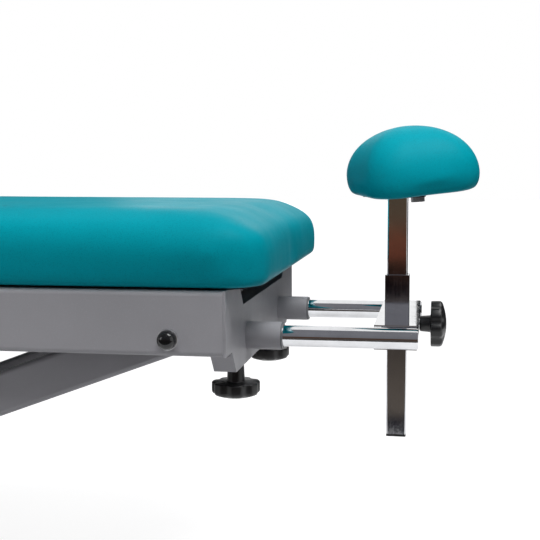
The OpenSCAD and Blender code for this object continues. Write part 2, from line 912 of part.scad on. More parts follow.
module leg_cushion() {
    color(teal) top_at() cushion_shape(leg_x0, leg_over, cushion_w);
}

module chest_board() {
    color(black) top_at() board_shape(chest_x0, chest_x1, cushion_w);
}

module chest_cushion() {
    color(teal) top_at() cushion_shape(chest_x0, chest_x1, cushion_w);
}

// ---- Head section --------------------------------------------------------

// Two bars with hinge eyes, joined by a cross bar behind the face slot
module head_frame() {
    bar_z = rail_z1 - head_bar_h / 2;
    color(frame_paint) top_at() {
        both_sides()
            difference() {
                union() {
                    translate([hinge_x - head_bar_l, head_bar_y, bar_z])
                        tube_x(0, head_bar_l - hinge_eye + 1, head_bar_w, head_bar_h, tube_wall - 1);
                    translate([hinge_x, 0, hinge_z])
                        cyl_y(hinge_eye, head_bar_y0, head_bar_y1);
                    translate([hinge_x - hinge_eye - 6, head_bar_y0, rail_z1 - head_bar_h])
                        cube([hinge_eye + 6, head_bar_w, head_bar_h - 0.5]);
                }
                translate([hinge_x, 0, hinge_z]) cyl_y(hinge_d / 2 + run_fit, 0, rail_y0);
            }
        translate([hinge_x - head_bar_l + head_bar_w / 2, 0, bar_z])
            tube_y(-head_bar_y0, head_bar_y0, head_bar_w, head_bar_h, tube_wall - 1);
    }
}

module face_slot(extra) {
    translate([head_x0 + head_l / 2 + 4, 0, board_z - 1])
        linear_extrude(cushion_h + 10)
            round_rect(slot_l + 2 * extra, slot_w + 2 * extra, slot_w / 2 + extra - 0.01);
}

module head_board() {
    color(black) top_at()
        difference() {
            board_shape(head_x0, head_x1, head_w);
            face_slot(board_margin);
        }
}

module head_cushion() {
    color(teal) top_at()
        difference() {
            translate([(head_x0 + head_x1) / 2, 0, cushion_z])
                cushion(head_l, head_w, cushion_h, cushion_r, cushion_tuck, cushion_belly, cushion_round);
            difference() {
                board_shape(head_x0, head_x1, head_w);
                face_slot(board_margin);
            }
            face_slot(0);
        }
}

module head_hinge_pin() {
    color(steel) top_at() translate([hinge_x, 0, hinge_z]) {
        cyl_y(hinge_d / 2, knob_seat_y - 4, -knob_seat_y);
        cyl_y(hinge_d / 2 + 4, -knob_seat_y - 0.5, -knob_seat_y + 5);
    }
}

module head_lock_knob() {
    color(black) top_at() translate([hinge_x, knob_seat_y, hinge_z])
        difference() {
            rotate([-90, 0, 0]) knob(hub_l);
            cyl_y(hinge_d / 2, -4, 1);
        }
}

// ---- Foot rest -----------------------------------------------------------

module guide_rods() {
    color(steel) top_at()
        both_sides() translate([0, rod_half, 0]) cyl_x(rod_r, rod_out - rod_len, rod_out);
}

module rod_caps() {
    cap_t = 1.5;
    color(steel) top_at()
        both_sides() translate([0, rod_half, 0]) {
            cyl_x(rod_r - 0.5, rod_out, rod_out + cap_t);
            cyl_x(rod_r - 0.5, rod_out - rod_len - cap_t, rod_out - rod_len);
        }
}

module bracket_plates() {
    color(steel) top_at()
        difference() {
            for (z = [-rod_r - bracket_t, rod_r])
                translate([bracket_x0, -rod_half + 5, z]) cube([bracket_l, 2 * rod_half - 10, bracket_t]);
            translate([post_x, 0, 0]) cube([sleeve_side, sleeve_side, 4 * rod_d], center = true);
        }
}

// Square sleeve for the post, with the boss that takes the post screw
module post_sleeve() {
    inner = post_side + 2 * sleeve_gap;
    color(steel) top_at() translate([post_x, 0, 0])
        difference() {
            union() {
                translate([-sleeve_side / 2, -sleeve_side / 2, sleeve_z0])
                    cube([sleeve_side, sleeve_side, sleeve_top - sleeve_z0]);
                cyl_x(rod_r - 1, 0, sleeve_side / 2 + boss_l);
            }
            translate([-inner / 2, -inner / 2, sleeve_z0 - 1])
                cube([inner, inner, sleeve_top - sleeve_z0 + 2]);
            cyl_x(screw_d / 2 + run_fit, 0, sleeve_side);
        }
}

// A clamp knob below the foot cross-member, drawn from the top of its floor
module clamp_knob() {
    translate([0, 0, -foot_sheet - knob_gap])
        difference() {
            knob(hub_l);
            translate([0, 0, -stud_in]) cylinder(d = screw_d, h = stud_in + 1);
        }
}

// The screw runs from inside the hub up to just below the rod
module clamp_screw() {
    head_z = -foot_sheet - knob_gap - stud_in;
    tip_z = -rod_r - side_play - floor_z - foot_sheet;
    translate([0, 0, head_z]) cylinder(d = screw_d, h = tip_z - head_z);
}

module near_clamp_knob() {
    color(black) top_at() mirror([0, 1, 0]) clamp_place() clamp_knob();
}

module near_clamp_screw() {
    color(steel) top_at() mirror([0, 1, 0]) clamp_place() clamp_screw();
}

module far_clamp_knob() {
    color(black) top_at() clamp_place() clamp_knob();
}

module far_clamp_screw() {
    color(steel) top_at() clamp_place() clamp_screw();
}

module post_clamp_knob() {
    color(black) top_at() translate([post_knob_x, 0, 0])
        difference() {
            rotate([0, -90, 0]) rotate(180 / knob_lobes) knob(post_hub_l);
            cyl_x(screw_d / 2, -1, post_hub_l - 4);
        }
}

module post_clamp_screw() {
    color(steel) top_at()
        cyl_x(screw_d / 2, post_x + post_side / 2 + side_play, post_knob_x + post_hub_l - 4);
}

// Square post, its top cut to the slope of the pad plate
module post() {
    color(steel)
        difference() {
            top_at() translate([post_x, 0, post_top - post_len])
                linear_extrude(post_len + post_side) tube_outline(post_side, post_side, post_wall, post_wall);
            plate_at() translate([-pad_offset - post_side, -post_side, -pad_plate_t])
                cube(2 * post_side);
        }
}

module post_plug() {
    color(black) top_at()
        translate([post_x, 0, post_top - post_len]) {
            translate([0, 0, -3]) linear_extrude(3) round_rect(post_side, post_side, 2);
            linear_extrude(14) round_rect(post_side - 2 * post_wall, post_side - 2 * post_wall, post_wall);
        }
}

// Top of the pad plate at the pad bolt
module plate_at() {
    top_at() translate([pad_x, 0, pad_z]) rotate([0, -pad_tilt, 0]) children();
}

// Middle of the pad's underside, turned with the pad
module pad_at() {
    plate_at() translate([-pad_shift, 0, 0]) rotate(pad_angle) children();
}

// Plate welded on the post, reaching out under the middle of the pad
module pad_plate() {
    plate_x0 = -pad_offset - post_side / 2 - 3;
    color(black) plate_at()
        translate([0, 0, -pad_plate_t]) linear_extrude(pad_plate_t)
            difference() {
                translate([plate_x0, -pad_plate_w / 2]) square([pad_plate_end - plate_x0, pad_plate_w]);
                circle(d = pad_bolt_d + 2 * run_fit);
            }
}

module pad_bolt() {
    head_h = 6;
    color(steel) plate_at() {
        translate([0, 0, -pad_plate_t - side_play - head_h]) cylinder(d = 17, h = head_h, $fn = 6);
        translate([0, 0, -pad_plate_t - side_play])
            cylinder(d = pad_bolt_d, h = pad_plate_t + side_play + bolt_in);
    }
}

// Outline of the board that the padding is fixed on
module pad_board_shape() {
    round_rect(pad_l - 2 * pad_board_in, pad_w - 2 * pad_board_in, pad_r - pad_board_in);
}

module pad_board() {
    color(black)
        difference() {
            pad_at() translate([0, 0, side_play]) linear_extrude(board_t) pad_board_shape();
            plate_at() translate([0, 0, -1]) cylinder(d = pad_bolt_d, h = bolt_in + 1);
        }
}

// Domed pad: slices of one outline, tucked in below the belly and drawn in to the crown
module foot_pad() {
    tuck = 12;
    layer = 0.2;
    color(teal) pad_at()
        difference() {
            translate([0, 0, side_play + 0.5])
                hull() {
                    for (a = [0 : 15 : 90])
                        translate([0, 0, pad_belly * (1 - sin(90 - a))])
                            linear_extrude(layer) pad_slice(1 - 2 * tuck * (1 - cos(90 - a)) / pad_l);
                    for (a = [8 : 8 : 80])
                        translate([0, 0, pad_belly + (pad_h - pad_belly - layer) * sin(a)])
                            linear_extrude(layer) pad_slice(cos(a));
                }
            translate([0, 0, side_play - 1]) linear_extrude(board_t + 1) pad_board_shape();
        }
}

module pad_slice(k) {
    round_rect(k * pad_l, k * pad_w, k * pad_r, $fn = 32);
}

// ---- Nodes ---------------------------------------------------------------

base_runners();
base_crossmembers();
levelling_feet();
base_axles();
base_axle_spacers();
jack_lugs();
jack_base_pin();
pump_block();
rear_arms();
lift_lever();
rear_cross_tube();
jack_top_pin();
front_arms();
front_torque_tube();
front_cross_tube();
jack_barrel();
jack_ram();
pedal_shaft();
pedal_arms();
pedal_pads();
pump_plunger();
side_rails();
foot_crossmember();
frame_crossmembers();
rod_guides();
rod_bushes();
pivot_bolts();
pivot_spacers();
pivot_caps();
leg_board();
leg_cushion();
chest_board();
chest_cushion();
head_frame();
head_board();
head_cushion();
head_hinge_pin();
head_lock_knob();
guide_rods();
rod_caps();
bracket_plates();
post_sleeve();
near_clamp_knob();
near_clamp_screw();
far_clamp_knob();
far_clamp_screw();
post_clamp_knob();
post_clamp_screw();
post();
post_plug();
pad_plate();
pad_bolt();
pad_board();
foot_pad();
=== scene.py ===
"""Chiropractic table: upholstery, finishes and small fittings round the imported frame."""

import json
import math

import bmesh
import bpy
import numpy as np
from mathutils import Matrix, Vector
from mathutils.bvhtree import BVHTree


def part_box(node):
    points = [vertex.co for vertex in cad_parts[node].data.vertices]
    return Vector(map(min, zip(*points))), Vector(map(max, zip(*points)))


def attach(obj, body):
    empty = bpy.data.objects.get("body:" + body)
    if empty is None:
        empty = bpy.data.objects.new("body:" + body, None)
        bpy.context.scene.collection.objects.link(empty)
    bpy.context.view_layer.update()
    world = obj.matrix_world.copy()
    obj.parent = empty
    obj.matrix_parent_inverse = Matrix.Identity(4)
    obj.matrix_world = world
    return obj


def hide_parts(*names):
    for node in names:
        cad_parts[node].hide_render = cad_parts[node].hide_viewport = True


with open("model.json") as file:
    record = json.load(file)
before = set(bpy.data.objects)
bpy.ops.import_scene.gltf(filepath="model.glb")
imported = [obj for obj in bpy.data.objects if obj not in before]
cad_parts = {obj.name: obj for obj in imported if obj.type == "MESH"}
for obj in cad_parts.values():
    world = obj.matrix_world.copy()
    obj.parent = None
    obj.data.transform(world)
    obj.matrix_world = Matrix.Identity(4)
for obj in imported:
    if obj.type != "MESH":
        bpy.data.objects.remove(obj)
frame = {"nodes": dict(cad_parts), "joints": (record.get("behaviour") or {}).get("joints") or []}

bl_info = {
    "name": "Chiropractic table finishes",
    "version": (1, 0, 0),
    "blender": (4, 5, 0),
    "location": "View3D > Sidebar > Table",
    "description": "Cushions, knobs, welds, fasteners and materials of a chiropractic table",
    "category": "Object",
}

MM = 0.001
TAU = 2 * math.pi
TIP = 0.01 * MM  # radius to which a turned shape closes
UP, DOWN = (0, 0, 1), (0, 0, -1)


# ---- Settings ------------------------------------------------------------


def a_length(name, description, default, low, high):
    """A size in millimetres that the user may change."""
    return bpy.props.FloatProperty(
        name=name, description=description, default=default * MM, min=low * MM, max=high * MM,
        unit="LENGTH", precision=4)


def a_share(name, description, default, low=0.0):
    """A factor up to one."""
    return bpy.props.FloatProperty(
        name=name, description=description, default=default, min=low, max=1, subtype="FACTOR")


def a_colour(name, description, default):
    return bpy.props.FloatVectorProperty(
        name=name, description=description, default=default, min=0, max=1, size=3,
        subtype="COLOR")


def a_power(name, description, default):
    return bpy.props.FloatProperty(
        name=name, description=description, default=default, min=0, unit="POWER")


class VinylSettings(bpy.types.PropertyGroup):
    """Cover of the cushions."""

    colour: a_colour("Colour", "Vinyl colour", (0.001, 0.335, 0.42))
    grain: a_length("Grain size", "Width of one cell of the embossed grain", 1.1, 0.3, 4)
    relief: a_share("Grain relief", "How strongly the grain shows", 0.1)
    roughness: a_share("Roughness", "Sheen of the vinyl, from glossy to matt", 0.42, 0.05)


class CushionSettings(bpy.types.PropertyGroup):
    """Foam shapes, before and after they are drawn tight."""

    voxel: a_length("Mesh size", "Spacing of the cloth mesh on the long cushions", 8, 3, 20)
    shrink: a_length("Start inset", "How much smaller the foam starts, before it swells",
                     3.5, 0, 20)
    swell: a_length("Largest swell", "How far any point of the cover may move", 8, 0, 30)
    pressure: bpy.props.FloatProperty(
        name="Pressure", description="Pressure of the foam against the cover",
        default=4.0, min=0, max=20)
    frames: bpy.props.IntProperty(
        name="Frames", description="Frames of cloth simulation", default=20, min=2, max=60)
    backing: a_share("Firm edge", "How much the foam resists where the cover pulls it in", 0.8)


class FittingSettings(bpy.types.PropertyGroup):
    """Knobs and fasteners."""

    knob: a_length("Knob diameter", "Across the lobes of a hand knob", 58, 40, 80)
    lobes: bpy.props.IntProperty(
        name="Lobes", description="Lobes round a hand knob", default=7, min=3, max=12)
    notch: a_length("Notch depth", "Depth of the hollows between the lobes", 3.1, 0, 8)
    staple: a_length("Staple width", "Length of a staple's crown", 11, 5, 20)
    staple_spacing: a_length("Staple spacing", "From one staple to the next", 26, 12, 80)
    stitch_spacing: a_length("Stitch spacing", "From one stitch to the next", 5, 2, 12)


class PaintSettings(bpy.types.PropertyGroup):
    """Powder coat of the steel frame."""

    colour: a_colour("Colour", "Powder coat colour", (0.40, 0.397, 0.424))
    peel: a_length("Orange peel", "Width of the ripples in the coat", 1.6, 0.4, 6)
    scuffs: a_share("Scuffs", "Share of the coat that is scuffed", 0.32)


class StudioSettings(bpy.types.PropertyGroup):
    """Floor, light and camera."""

    floor: a_colour("Floor colour", "Colour of the studio floor", (0.42, 0.42, 0.43))
    foot_light: a_power("Foot end light", "Power of the soft box high beyond the foot end", 38.0)
    front_light: a_power("Front light", "Power of the soft box high in front", 28.0)
    top_light: a_power("Top light", "Power of the overhead soft box", 12.0)
    low_light: a_power("Low light", "Power of the small soft box low on the left", 8.0)
    fill: bpy.props.FloatProperty(
        name="Fill", description="Strength of the even light from all round",
        default=0.05, min=0, max=2)


# ---- Node helpers --------------------------------------------------------


def add(tree, kind, sockets=None, **settings):
    """A new node with its settings, and its inputs set or linked by name or number."""
    node = tree.nodes.new(kind)
    for key, value in settings.items():
        setattr(node, key, value)
    for key, value in (sockets or {}).items():
        socket = node.inputs[key]
        if isinstance(value, bpy.types.NodeSocket):
            tree.links.new(value, socket)
        else:
            socket.default_value = value
    return node


def new_finish(name, **sockets):
    """A material with one principled shader; sockets holds what is the same all over."""
    material = bpy.data.materials.new(name)
    material.use_nodes = True
    tree = material.node_tree
    shader = tree.nodes["Principled BSDF"]
    for key, value in sockets.items():
        shader.inputs[key.replace("_", " ")].default_value = value
    return material, tree, shader


def stretched(tree, scale=(1, 1, 1)):
    """Object coordinates, stretched along the axes."""
    where = add(tree, "ShaderNodeTexCoord")
    return add(tree, "ShaderNodeMapping",
               {"Vector": where.outputs["Object"], "Scale": scale}).outputs["Vector"]


def noise(tree, vector, scale, detail=3.0, roughness=0.5, distortion=0.0):
    return add(tree, "ShaderNodeTexNoise", {
        "Vector": vector, "Scale": scale, "Detail": detail,
        "Roughness": roughness, "Distortion": distortion}).outputs["Fac"]


def remap(tree, value, low, high, to_low=0.0, to_high=1.0):
    """Value, spread from low..high to to_low..to_high."""
    return add(tree, "ShaderNodeMapRange", {
        "Value": value, "From Min": low, "From Max": high,
        "To Min": to_low, "To Max": to_high}).outputs["Result"]


def mixed(tree, factor, a, b):
    """Colour a, turning to b with factor."""
    return add(tree, "ShaderNodeMix", {0: factor, 6: a, 7: b}, data_type="RGBA").outputs[2]


def sums(tree, operation, a, b):
    """Math node on two values."""
    return add(tree, "ShaderNodeMath", {0: a, 1: b}, operation=operation).outputs[0]


def wire_up(tree, shader, tone, rough, height, strength, depth):
    """Gives the shader its colour, its roughness, and the relief of height."""
    tree.links.new(tone, shader.inputs["Base Color"])
    tree.links.new(rough, shader.inputs["Roughness"])
    relief = add(tree, "ShaderNodeBump", {
        "Height": height, "Strength": strength, "Distance": depth})
    tree.links.new(relief.outputs["Normal"], shader.inputs["Normal"])


def shade(colour, factor):
    """Colour times factor, with an alpha."""
    return (*(min(1.0, c * factor) for c in colour), 1.0)


# ---- Finishes ------------------------------------------------------------


def powder_coat():
    """Light grey powder coat: fine orange peel, broad tone drift, rubbed and dusty places."""
    paint = bpy.context.scene.table_paint
    material, tree, shader = new_finish("powder_coat", Specular_IOR_Level=0.42)
    where = stretched(tree)
    drift = remap(tree, noise(tree, where, 7.0, 4.0, 0.6), 0.3, 0.7)
    tone = mixed(tree, drift, shade(paint.colour, 0.93), shade(paint.colour, 1.06))
    fleck = remap(tree, noise(tree, where, 900.0, 1.0), 0.56, 0.75, 0.0, 0.22)
    tone = mixed(tree, fleck, tone, shade(paint.colour, 1.35))
    rub = noise(tree, stretched(tree, (14, 30, 46)), 1.0, 9.0, 0.72, 0.6)
    rub = remap(tree, rub, 0.70 - 0.06 * paint.scuffs, 0.82, 0.0, paint.scuffs)
    tone = mixed(tree, rub, tone, shade(paint.colour, 0.62))
    gloss = remap(tree, noise(tree, where, 26.0, 5.0, 0.7), 0.3, 0.7, 0.36, 0.5)
    rough = sums(tree, "ADD", gloss, sums(tree, "MULTIPLY", rub, 0.4))
    peel = noise(tree, where, 1 / paint.peel, 2.0, 0.45)
    wire_up(tree, shader, tone, rough, peel, 0.12, 0.25 * MM)
    return material


def chrome(name, scratch):
    """Polished chrome with hair scratches along one axis and faint handling haze."""
    material, tree, shader = new_finish(name, Metallic=1.0)
    hair = noise(tree, stretched(tree, scratch), 1.0, 3.0, 0.6)
    haze = noise(tree, stretched(tree), 34.0, 5.0, 0.65)
    tone = mixed(tree, remap(tree, haze, 0.35, 0.7), (0.80, 0.81, 0.83, 1), (0.70, 0.705, 0.72, 1))
    rough = sums(tree, "ADD", remap(tree, haze, 0.4, 0.75, 0.045, 0.12),
                 remap(tree, hair, 0.55, 0.8, 0.0, 0.08))
    wire_up(tree, shader, tone, rough, hair, 0.03, 0.05 * MM)
    return material


def spotted(name, spots, spread, tones, rough, relief, grain=None, **sockets):
    """A finish that one noise makes uneven: where it rises through spread the colour goes
    from one tone to the other, and rough spreads it to a roughness. relief is the strength
    and depth of the grain, a noise of its own, or of the spots where there is none."""
    material, tree, shader = new_finish(name, **sockets)
    cloud = noise(tree, stretched(tree), *spots)
    tone = mixed(tree, remap(tree, cloud, *spread), *tones)
    height = noise(tree, stretched(tree, grain[0]), *grain[1:]) if grain else cloud
    wire_up(tree, shader, tone, remap(tree, cloud, *rough), height, *relief)
    return material


def zinc_steel():
    """Bright zinc plate, slightly blotched, with turning marks."""
    return spotted("zinc_steel", (90.0, 4.0, 0.7), (0.35, 0.65),
                   ((0.50, 0.51, 0.53, 1), (0.66, 0.66, 0.67, 1)), (0.3, 0.7, 0.24, 0.42),
                   (0.08, 0.1 * MM), ((300, 2500, 300), 1.0, 2.0), Metallic=1.0)


def dark_steel():
    """Blackened steel with rubbed patches where the metal shows."""
    return spotted("blackened_steel", (55.0, 6.0, 0.7), (0.58, 0.74),
                   ((0.045, 0.046, 0.05, 1), (0.16, 0.16, 0.165, 1)), (0.3, 0.75, 0.52, 0.32),
                   (0.1, 0.15 * MM), ((1, 1, 1), 1100.0, 2.0), Metallic=0.7)


def moulded_plastic():
    """Black moulded plastic: fine spark texture, polished a little by hands."""
    return spotted("moulded_plastic", (60.0, 4.0, 0.6), (0, 1),
                   ((0.005, 0.005, 0.0055, 1), (0.012, 0.012, 0.013, 1)), (0.3, 0.7, 0.27, 0.38),
                   (0.14, 0.12 * MM), ((1, 1, 1), 2600.0, 1.0), Specular_IOR_Level=0.5)


def gloss_plastic():
    """Black cap plastic, smooth and shiny, with faint scuffs."""
    return spotted("gloss_plastic", (240.0, 5.0, 0.75, 0.4), (0.6, 0.8),
                   ((0.006, 0.006, 0.007, 1), (0.03, 0.03, 0.032, 1)), (0.5, 0.8, 0.13, 0.4),
                   (0.04, 0.1 * MM), Specular_IOR_Level=0.55)


def rubber():
    """Black rubber, matt, dusty in the pores."""
    return spotted("rubber", (120.0, 6.0, 0.75), (0.5, 0.75),
                   ((0.012, 0.012, 0.012, 1), (0.05, 0.048, 0.045, 1)), (0.3, 0.7, 0.66, 0.88),
                   (0.25, 0.2 * MM), ((1, 1, 1), 1500.0, 3.0), Specular_IOR_Level=0.3)


def nylon():
    """Grey bearing nylon, waxy, faintly mottled."""
    return spotted("nylon", (210.0, 4.0, 0.6), (0, 1),
                   ((0.15, 0.155, 0.165, 1), (0.23, 0.235, 0.245, 1)), (0.3, 0.7, 0.36, 0.5),
                   (0.06, 0.15 * MM), Specular_IOR_Level=0.45)


def stained_board():
    """Plywood stained black: grain along X shows through, with lighter rubbed fibres."""
    material, tree, shader = new_finish("stained_board", Specular_IOR_Level=0.12)
    fibre = noise(tree, stretched(tree, (12, 420, 420)), 1.0, 5.0, 0.7)
    ring = noise(tree, stretched(tree, (2.5, 26, 26)), 1.0, 3.0, 0.6, 1.2)
    both = remap(tree, sums(tree, "MULTIPLY", fibre, ring), 0.16, 0.42)
    tone = mixed(tree, both, (0.004, 0.004, 0.004, 1), (0.016, 0.015, 0.014, 1))
    wire_up(tree, shader, tone, remap(tree, fibre, 0.3, 0.7, 0.58, 0.78), fibre, 0.22, 0.25 * MM)
    return material


def vinyl():
    """Embossed upholstery vinyl: leather cells, tone drift, painted shade in the crevices between
    the cells, shine on the crown of each cell.
    """
    cover = bpy.context.scene.table_vinyl
    material, tree, shader = new_finish(
        "vinyl", Specular_IOR_Level=0.03, Sheen_Weight=0.03, Sheen_Roughness=0.4,
        Sheen_Tint=(0.05, 0.85, 1.0, 1.0))
    where = stretched(tree)
    cell = add(tree, "ShaderNodeTexVoronoi", {"Vector": where, "Scale": 1 / cover.grain,
                                              "Randomness": 0.92}, feature="F1")
    pebble = remap(tree, cell.outputs["Distance"], 0.15, 0.75, 1.0, 0.0)
    pore = noise(tree, where, 2.6 / cover.grain, 2.0)
    drift = remap(tree, noise(tree, where, 6.0, 4.0, 0.6), 0.3, 0.7)
    tone = mixed(tree, drift, shade(cover.colour, 0.94), shade(cover.colour, 1.06))
    # painted shade: the colour darkens in the crevices between the grain cells
    tone = mixed(tree, remap(tree, pebble, 0.0, 0.35, 0.34, 0.0), tone, shade(cover.colour, 0.55))
    polish = noise(tree, where, 16.0, 4.0, 0.6)
    rough = remap(tree, polish, 0.3, 0.7, cover.roughness - 0.05, cover.roughness + 0.06)
    rough = sums(tree, "SUBTRACT", rough, sums(tree, "MULTIPLY", pebble, 0.06))
    height = sums(tree, "ADD", pebble, sums(tree, "MULTIPLY", pore, 0.35))
    wire_up(tree, shader, tone, rough, height, cover.relief, 0.25 * MM)
    return material


def thread():
    """Twisted thread a shade darker than the vinyl, with painted shade in the grooves of the twist.
    """
    cover = bpy.context.scene.table_vinyl
    material, tree, shader = new_finish("thread", Specular_IOR_Level=0.35)
    twist = add(tree, "ShaderNodeTexWave", {"Vector": stretched(tree), "Scale": 900.0,
                                            "Distortion": 2.0}, bands_direction="DIAGONAL")
    twist = twist.outputs["Fac"]
    # painted shade: the grooves of the twist are darker
    tone = mixed(tree, twist, shade(cover.colour, 0.45), shade(cover.colour, 0.8))
    wire_up(tree, shader, tone, remap(tree, twist, 0, 1, 0.7, 0.5), twist, 0.4, 0.1 * MM)
    return material


FINISHES = {}
MAKERS = {
    "frame_paint": powder_coat,
    "bright_steel": lambda: chrome("chrome_rods", (6, 900, 900)),
    "post_chrome": lambda: chrome("chrome_post", (900, 900, 6)),
    "plain_steel": zinc_steel,
    "dark_steel": dark_steel,
    "black_plastic": moulded_plastic,
    "gloss_plastic": gloss_plastic,
    "black_rubber": rubber,
    "nylon": nylon,
    "black_board": stained_board,
    "teal_vinyl": vinyl,
    "thread": thread,
}


def finish_of(slot):
    """The material of a record slot, made once."""
    if slot not in FINISHES:
        FINISHES[slot] = MAKERS[slot]()
    return FINISHES[slot]


# ---- Mesh helpers --------------------------------------------------------


def linked(name, data):
    """A new object in the scene that carries data."""
    holder = bpy.data.objects.new(name, data)
    bpy.context.scene.collection.objects.link(holder)
    return holder


def new_piece(name, mesh, body, slot, finish=None):
    """A finished piece: its mesh is in place, it rides on body, and its material is the finish of
    slot, or finish where one is given.
    """
    mesh.materials.clear()
    mesh.materials.append(finish_of(finish or slot))
    mesh.polygons.foreach_set("use_smooth", [True] * len(mesh.polygons))
    piece = linked(name, mesh)
    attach(piece, body)
    return piece


def loft(name, rings):
    """Closed shell through rings of equal count, capped at both ends."""
    count = len(rings[0])
    last = (len(rings) - 1) * count
    faces = []
    for first in range(0, last, count):
        for i in range(count):
            a, b = first + i, first + (i + 1) % count
            faces.append((a, b, b + count, a + count))
    faces += [tuple(reversed(range(count))), tuple(range(last, last + count))]
    mesh = bpy.data.meshes.new(name)
    mesh.from_pydata([tuple(p) for ring in rings for p in ring], [], faces)
    mesh.validate()
    shell = bmesh.new()
    shell.from_mesh(mesh)
    bmesh.ops.recalc_face_normals(shell, faces=shell.faces)
    shell.to_mesh(mesh)
    shell.free()
    return mesh


def rounded_outline(half_x, half_y, radius, per_corner=10, per_side=8):
    """Points round a rectangle with rounded corners, evenly placed, anticlockwise."""
    radius = min(radius, half_x - 1e-5, half_y - 1e-5)
    arcs = []
    for sx, sy, turn in ((1, 1, 0.0), (-1, 1, 0.25), (-1, -1, 0.5), (1, -1, 0.75)):
        centre = Vector((sx * (half_x - radius), sy * (half_y - radius)))
        angles = [TAU * (turn + 0.25 * i / per_corner) for i in range(per_corner + 1)]
        arcs.append([centre + radius * Vector((math.cos(a), math.sin(a))) for a in angles])
    points = []
    for arc, after in zip(arcs, arcs[1:] + arcs[:1]):
        points += arc
        points += [arc[-1].lerp(after[0], i / per_side) for i in range(1, per_side)]
    return points


def flat_ring(centre, z, *outline):
    """A rounded outline round centre, at height z."""
    return [Vector((centre.x + p.x, centre.y + p.y, z)) for p in rounded_outline(*outline)]


def made(source, name):
    """The mesh that source's modifiers make, as plain data. It takes source out."""
    graph = bpy.context.evaluated_depsgraph_get()
    mesh = bpy.data.meshes.new_from_object(source.evaluated_get(graph), depsgraph=graph)
    mesh.name = name
    source.modifiers.clear()
    bpy.data.objects.remove(source)
    return mesh


def islands(node):
    """Lowest and highest corner of each separate solid of a CAD node."""
    shell = bmesh.new()
    shell.from_mesh(frame["nodes"][node].data)
    bmesh.ops.remove_doubles(shell, verts=shell.verts, dist=1e-6)
    left, found = set(shell.verts), []
    while left:
        queue, group = [left.pop()], []
        while queue:
            vert = queue.pop()
            group.append(vert.co.copy())
            for other in (edge.other_vert(vert) for edge in vert.link_edges):
                if other in left:
                    left.remove(other)
                    queue.append(other)
        found.append([Vector(end(p[k] for p in group) for k in range(3)) for end in (min, max)])
    shell.free()
    return sorted(found, key=lambda box: [round(c, 4) for c in box[0]])


# ---- Cushions ------------------------------------------------------------


def cushion_rings(lo, hi, radius, tuck, belly, run, inset, crown):
    """Rings of an upholstered block: tucked in below, widest at the belly, rounded over,
    then a slightly crowned top. tuck and run are (at the ends, at the sides)."""
    half, centre = (hi - lo) / 2, (hi + lo) / 2
    base, top = lo.z + inset * 0.2, hi.z - inset - crown
    rings = []

    def ring(share, reach, z):
        dx, dy = (inset + share * r for r in reach)
        corner = max(radius - (dx + dy) / 2, 12 * MM)
        rings.append(flat_ring(centre, z, half.x - dx, half.y - dy, corner))

    for step in range(7):
        a = math.pi / 2 * step / 6
        ring(1 - math.sin(a), tuck, base + belly * (1 - math.cos(a)))
    for step in range(1, 11):
        a = math.pi / 2 * step / 10
        ring(1 - math.cos(a), run, base + belly + (top - base - belly) * math.sin(a))
    brow = rings[-1]
    for step in range(1, 9):
        keep = 1 - step / 8 * 0.97
        z = top + crown * math.sin(math.pi / 2 * (1 - keep)) ** 0.8
        rings.append([Vector((*centre.lerp(p, keep).xy, z)) for p in brow])
    return rings


def remeshed(shell, voxel):
    """Shell with an even mesh of about voxel."""
    foam = linked("foam", shell)
    skin = foam.modifiers.new("even", "REMESH")
    skin.mode = "VOXEL"
    skin.voxel_size = voxel
    return made(foam, shell.name)


def drawn_tight(mesh, low, fade, swell):
    """Cloth simulation: the foam presses the cover out, by swell at most. The underside, at
    low, stays on its board, and a point keeps all of its movement from fade above it."""
    settings = bpy.context.scene.table_cushions
    cover = linked("cover", mesh)
    cloth = cover.modifiers.new("cover", "CLOTH")
    cloth.settings.quality = 5
    cloth.settings.mass = 0.35
    cloth.settings.tension_stiffness = 12.0
    cloth.settings.compression_stiffness = 12.0
    cloth.settings.shear_stiffness = 4.0
    cloth.settings.bending_stiffness = 1.5
    cloth.settings.use_pressure = True
    cloth.settings.uniform_pressure_force = settings.pressure
    cloth.settings.effector_weights.gravity = 0.0
    cloth.collision_settings.use_collision = False
    cloth.point_cache.frame_start = 1
    cloth.point_cache.frame_end = settings.frames
    for number in range(1, settings.frames + 1):
        bpy.context.scene.frame_set(number)
    swollen = made(cover, mesh.name)
    bpy.context.scene.frame_set(1)
    start, end, out = (np.zeros(len(mesh.vertices) * 3) for _ in range(3))
    mesh.vertices.foreach_get("co", start)
    swollen.vertices.foreach_get("co", end)
    mesh.vertex_normals.foreach_get("vector", out)
    start, move, out = (values.reshape(-1, 3) for values in (start, end - start, out))
    inward = np.minimum((move * out).sum(axis=1, keepdims=True), 0)
    move = move - out * inward * settings.backing
    length = np.linalg.norm(move, axis=1, keepdims=True)
    capped = np.minimum(length, swell) / np.maximum(length, 1e-9)
    keep = np.clip((start[:, 2:] - low) / fade, 0, 1) ** 0.7
    swollen.vertices.foreach_set("co", (start + move * capped * keep).ravel())
    swollen.update()
    return swollen


def upholstered(name, mesh, body, node, firm=0.0):
    """A padded piece that stands for a soft CAD solid, smoothed, least up to firm above
    its underside."""
    smooth = linked("smooth", mesh)
    relax = smooth.modifiers.new("relax", "SMOOTH")
    relax.factor, relax.iterations = 0.5, 3 if firm else 8
    if firm:
        low = min(vert.co.z for vert in mesh.vertices)
        upper = smooth.vertex_groups.new(name="upper")
        upper.add([v.index for v in mesh.vertices if v.co.z > low + firm], 1.0, "REPLACE")
        again = smooth.modifiers.new("relax_upper", "SMOOTH")
        again.factor, again.iterations, again.vertex_group = 0.5, 14, upper.name
    finer = smooth.modifiers.new("finer", "SUBSURF")
    finer.levels = finer.render_levels = 1
    piece = new_piece(name, made(smooth, name), body, "teal_vinyl")
    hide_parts(node)


